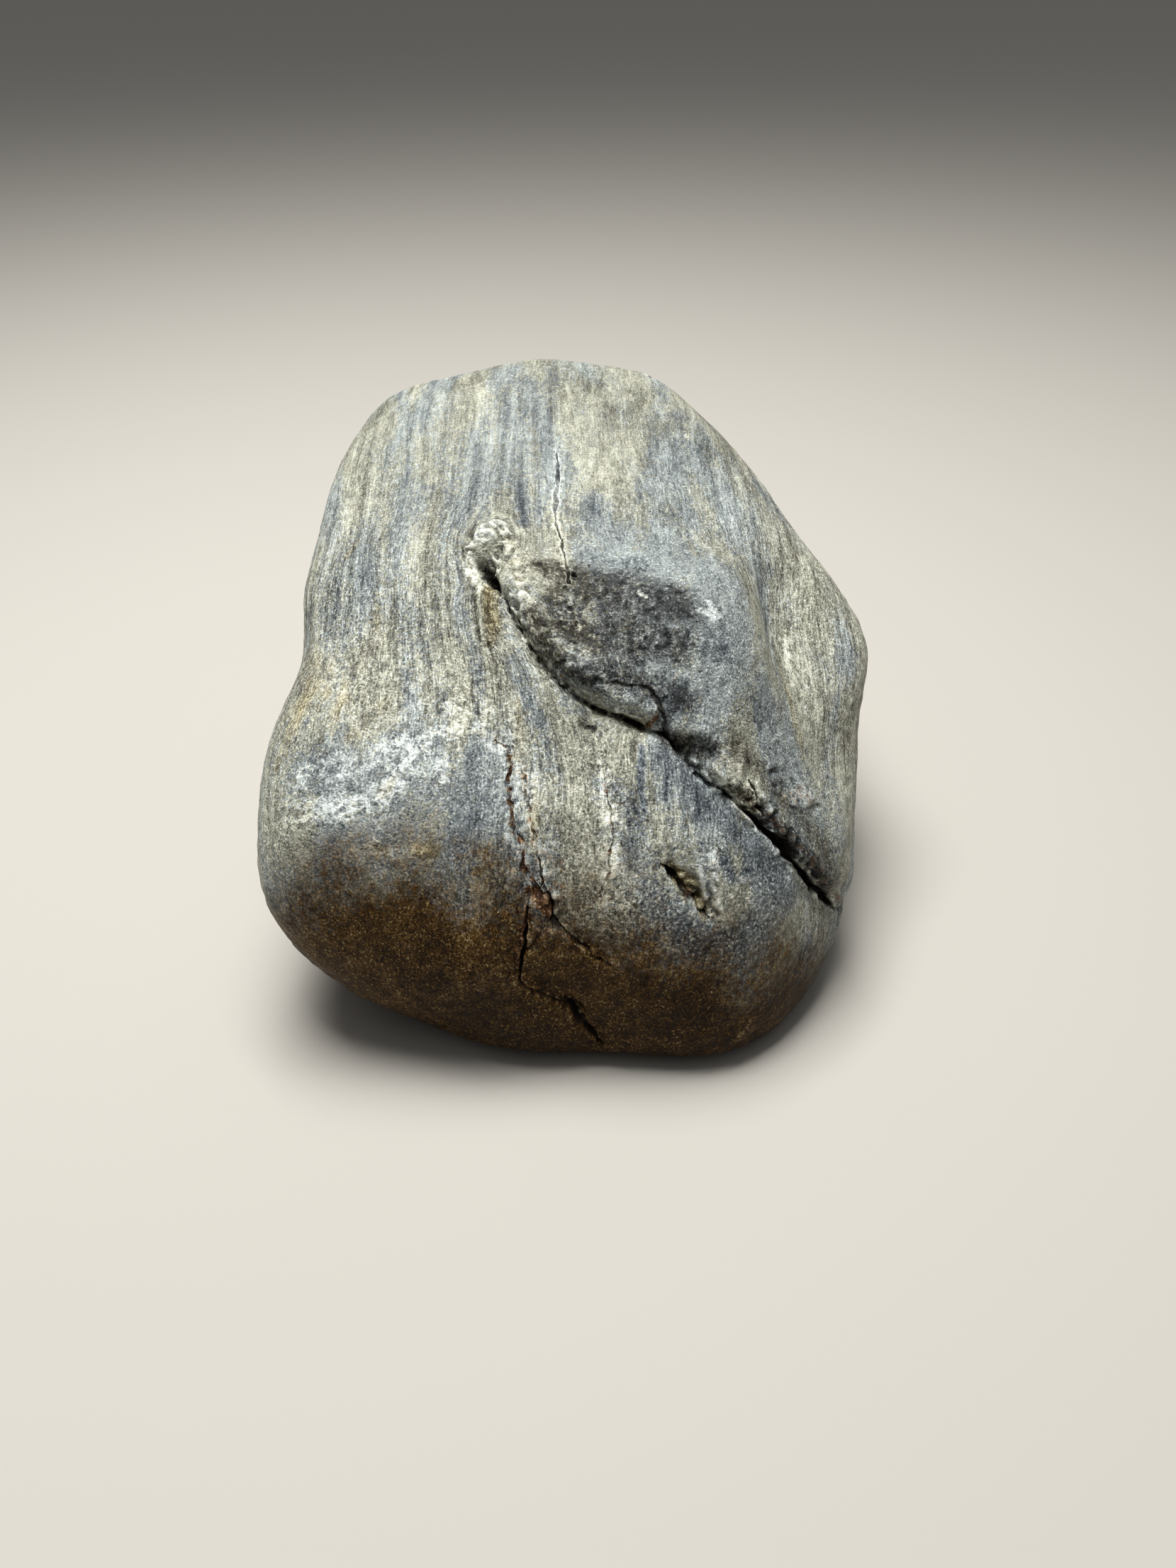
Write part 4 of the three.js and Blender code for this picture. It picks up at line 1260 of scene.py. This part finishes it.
for row in VALUE:
    value = stir_in(value, *row)
print("rows in the value:", len(VALUE))

# %% [markdown]
# ## Coats of colour
#
# The plain skin is warm grey. Over it lie coats, each with its own palette and each showing only
# where its edge lets it: cool grey, slate, ochre, the brown patina with its painted shade and
# painted warm reflected light, rust, and last the soot and painted shade in the splits, which is
# one flat colour. All the palettes read the same value, so the grain runs on through every coat.

# %% Lay on the coats
# Each palette runs from the darkest value, 0, to the palest, 1.
WARM_GREY = [
    (0.0, "#16140e"), (0.3, "#4d4b41"), (0.5, "#87877b"), (0.7, "#bfc0af"), (1.0, "#f8f8ec"),
]
COOL_GREY = [
    (0.0, "#101215"), (0.3, "#3f4448"), (0.5, "#767d7f"), (0.7, "#aeb6b5"), (1.0, "#f1f7f7"),
]
SLATE = [(0.0, "#0b0c10"), (0.3, "#2b2f35"), (0.5, "#596067"), (0.7, "#90989c"), (1.0, "#e0e7e9")]
OCHRE = [(0.0, "#161208"), (0.3, "#443b26"), (0.5, "#776d50"), (0.7, "#b4ac8a"), (1.0, "#eee8d2")]
# The patina's palette; its dark end is also painted shade and painted warm reflected light.
BROWN_AND_SHADE = [(0.0, "#060200"), (0.25, "#1f1000"), (0.45, "#3e290a"), (0.7, "#664c24"), (1.0, "#a89876")]
RUST = [(0.0, "#0c0603"), (0.3, "#271608"), (0.5, "#412916"), (0.7, "#6b4e33"), (1.0, "#b5997a")]
# One flat dark colour for soot and painted shade.
SOOT_AND_SHADE = "#120d08"
COATS = [
    (COOL_GREY, "cool places"), (SLATE, "slate streaks"), (OCHRE, "ochre streaks"),
    (OCHRE, "ochre in the bark"), (BROWN_AND_SHADE, "mud"), (RUST, "rusty crumbs"),
]
colour = add(tree, "ShaderNodeValToRGB", {"stops": WARM_GREY}, {0: value}).outputs[0]
for palette, edge in COATS:
    coat = add(tree, "ShaderNodeValToRGB", {"stops": palette}, {0: value}).outputs[0]
    feeds = {0: sheet[edge], 6: colour, 7: coat}
    colour = add(tree, "ShaderNodeMix", {"data_type": "RGBA"}, feeds).outputs[2]
feeds = {0: sheet["sooty grains"], 6: colour, 7: linear(SOOT_AND_SHADE)}
colour = add(tree, "ShaderNodeMix", {"data_type": "RGBA"}, feeds).outputs[2]
print("coats over the grey:", len(COATS) + 1)

# %% [markdown]
# ## Polish
#
# Worn quartz grains shine a little and torn ones are matt, so roughness follows the grains. Their
# own relief is too fine for the mesh and is left to a bump of 0.2 mm, which is enough to break up
# the shine. All that has a shape of its own is in the mesh.

# %% Polish the skin
QUARTZ_IOR = 1.54
SPECULAR_LEVEL = 0.12            # worn half matt, the skin mirrors less than polished quartz
POLISHED, TORN = 0.42, 0.68      # roughness of the smoothest and the most broken grains
BUMP_HEIGHT = 0.2                # mm
RELIEF = [
    ("grains", 0.6), ("dashes", 0.6, 0.5, "fibrous"), ("fibres", 0.8, 0.5, "fibrous"),
    ("crumbs", 1.6, 0.5, "granular"), ("clots", 1.6),
]
feeds = {0: sheet["grains"], 1: 0.3, 2: 0.7, 3: POLISHED, 4: TORN}
roughness = add(tree, "ShaderNodeMapRange", feeds=feeds).outputs[0]
relief = 0.0
for row in RELIEF:
    relief = stir_in(relief, *row)
feeds = {"Strength": 1.0, "Distance": BUMP_HEIGHT * MM, "Height": relief}
bump = add(tree, "ShaderNodeBump", feeds=feeds).outputs[0]
feeds = {"Base Color": colour, "Roughness": roughness, "Normal": bump}
feeds |= {"IOR": QUARTZ_IOR, "Specular IOR Level": SPECULAR_LEVEL}
shader = add(tree, "ShaderNodeBsdfPrincipled", feeds=feeds)
add(tree, "ShaderNodeOutputMaterial", feeds={"Surface": shader.outputs[0]})
stone.data.materials.clear()
stone.data.materials.append(wood)
print("material:", wood.name, "with", len(tree.nodes), "nodes")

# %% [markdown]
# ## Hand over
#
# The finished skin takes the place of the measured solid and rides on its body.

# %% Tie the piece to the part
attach(stone, "root")
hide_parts("petrified_wood_cobble")
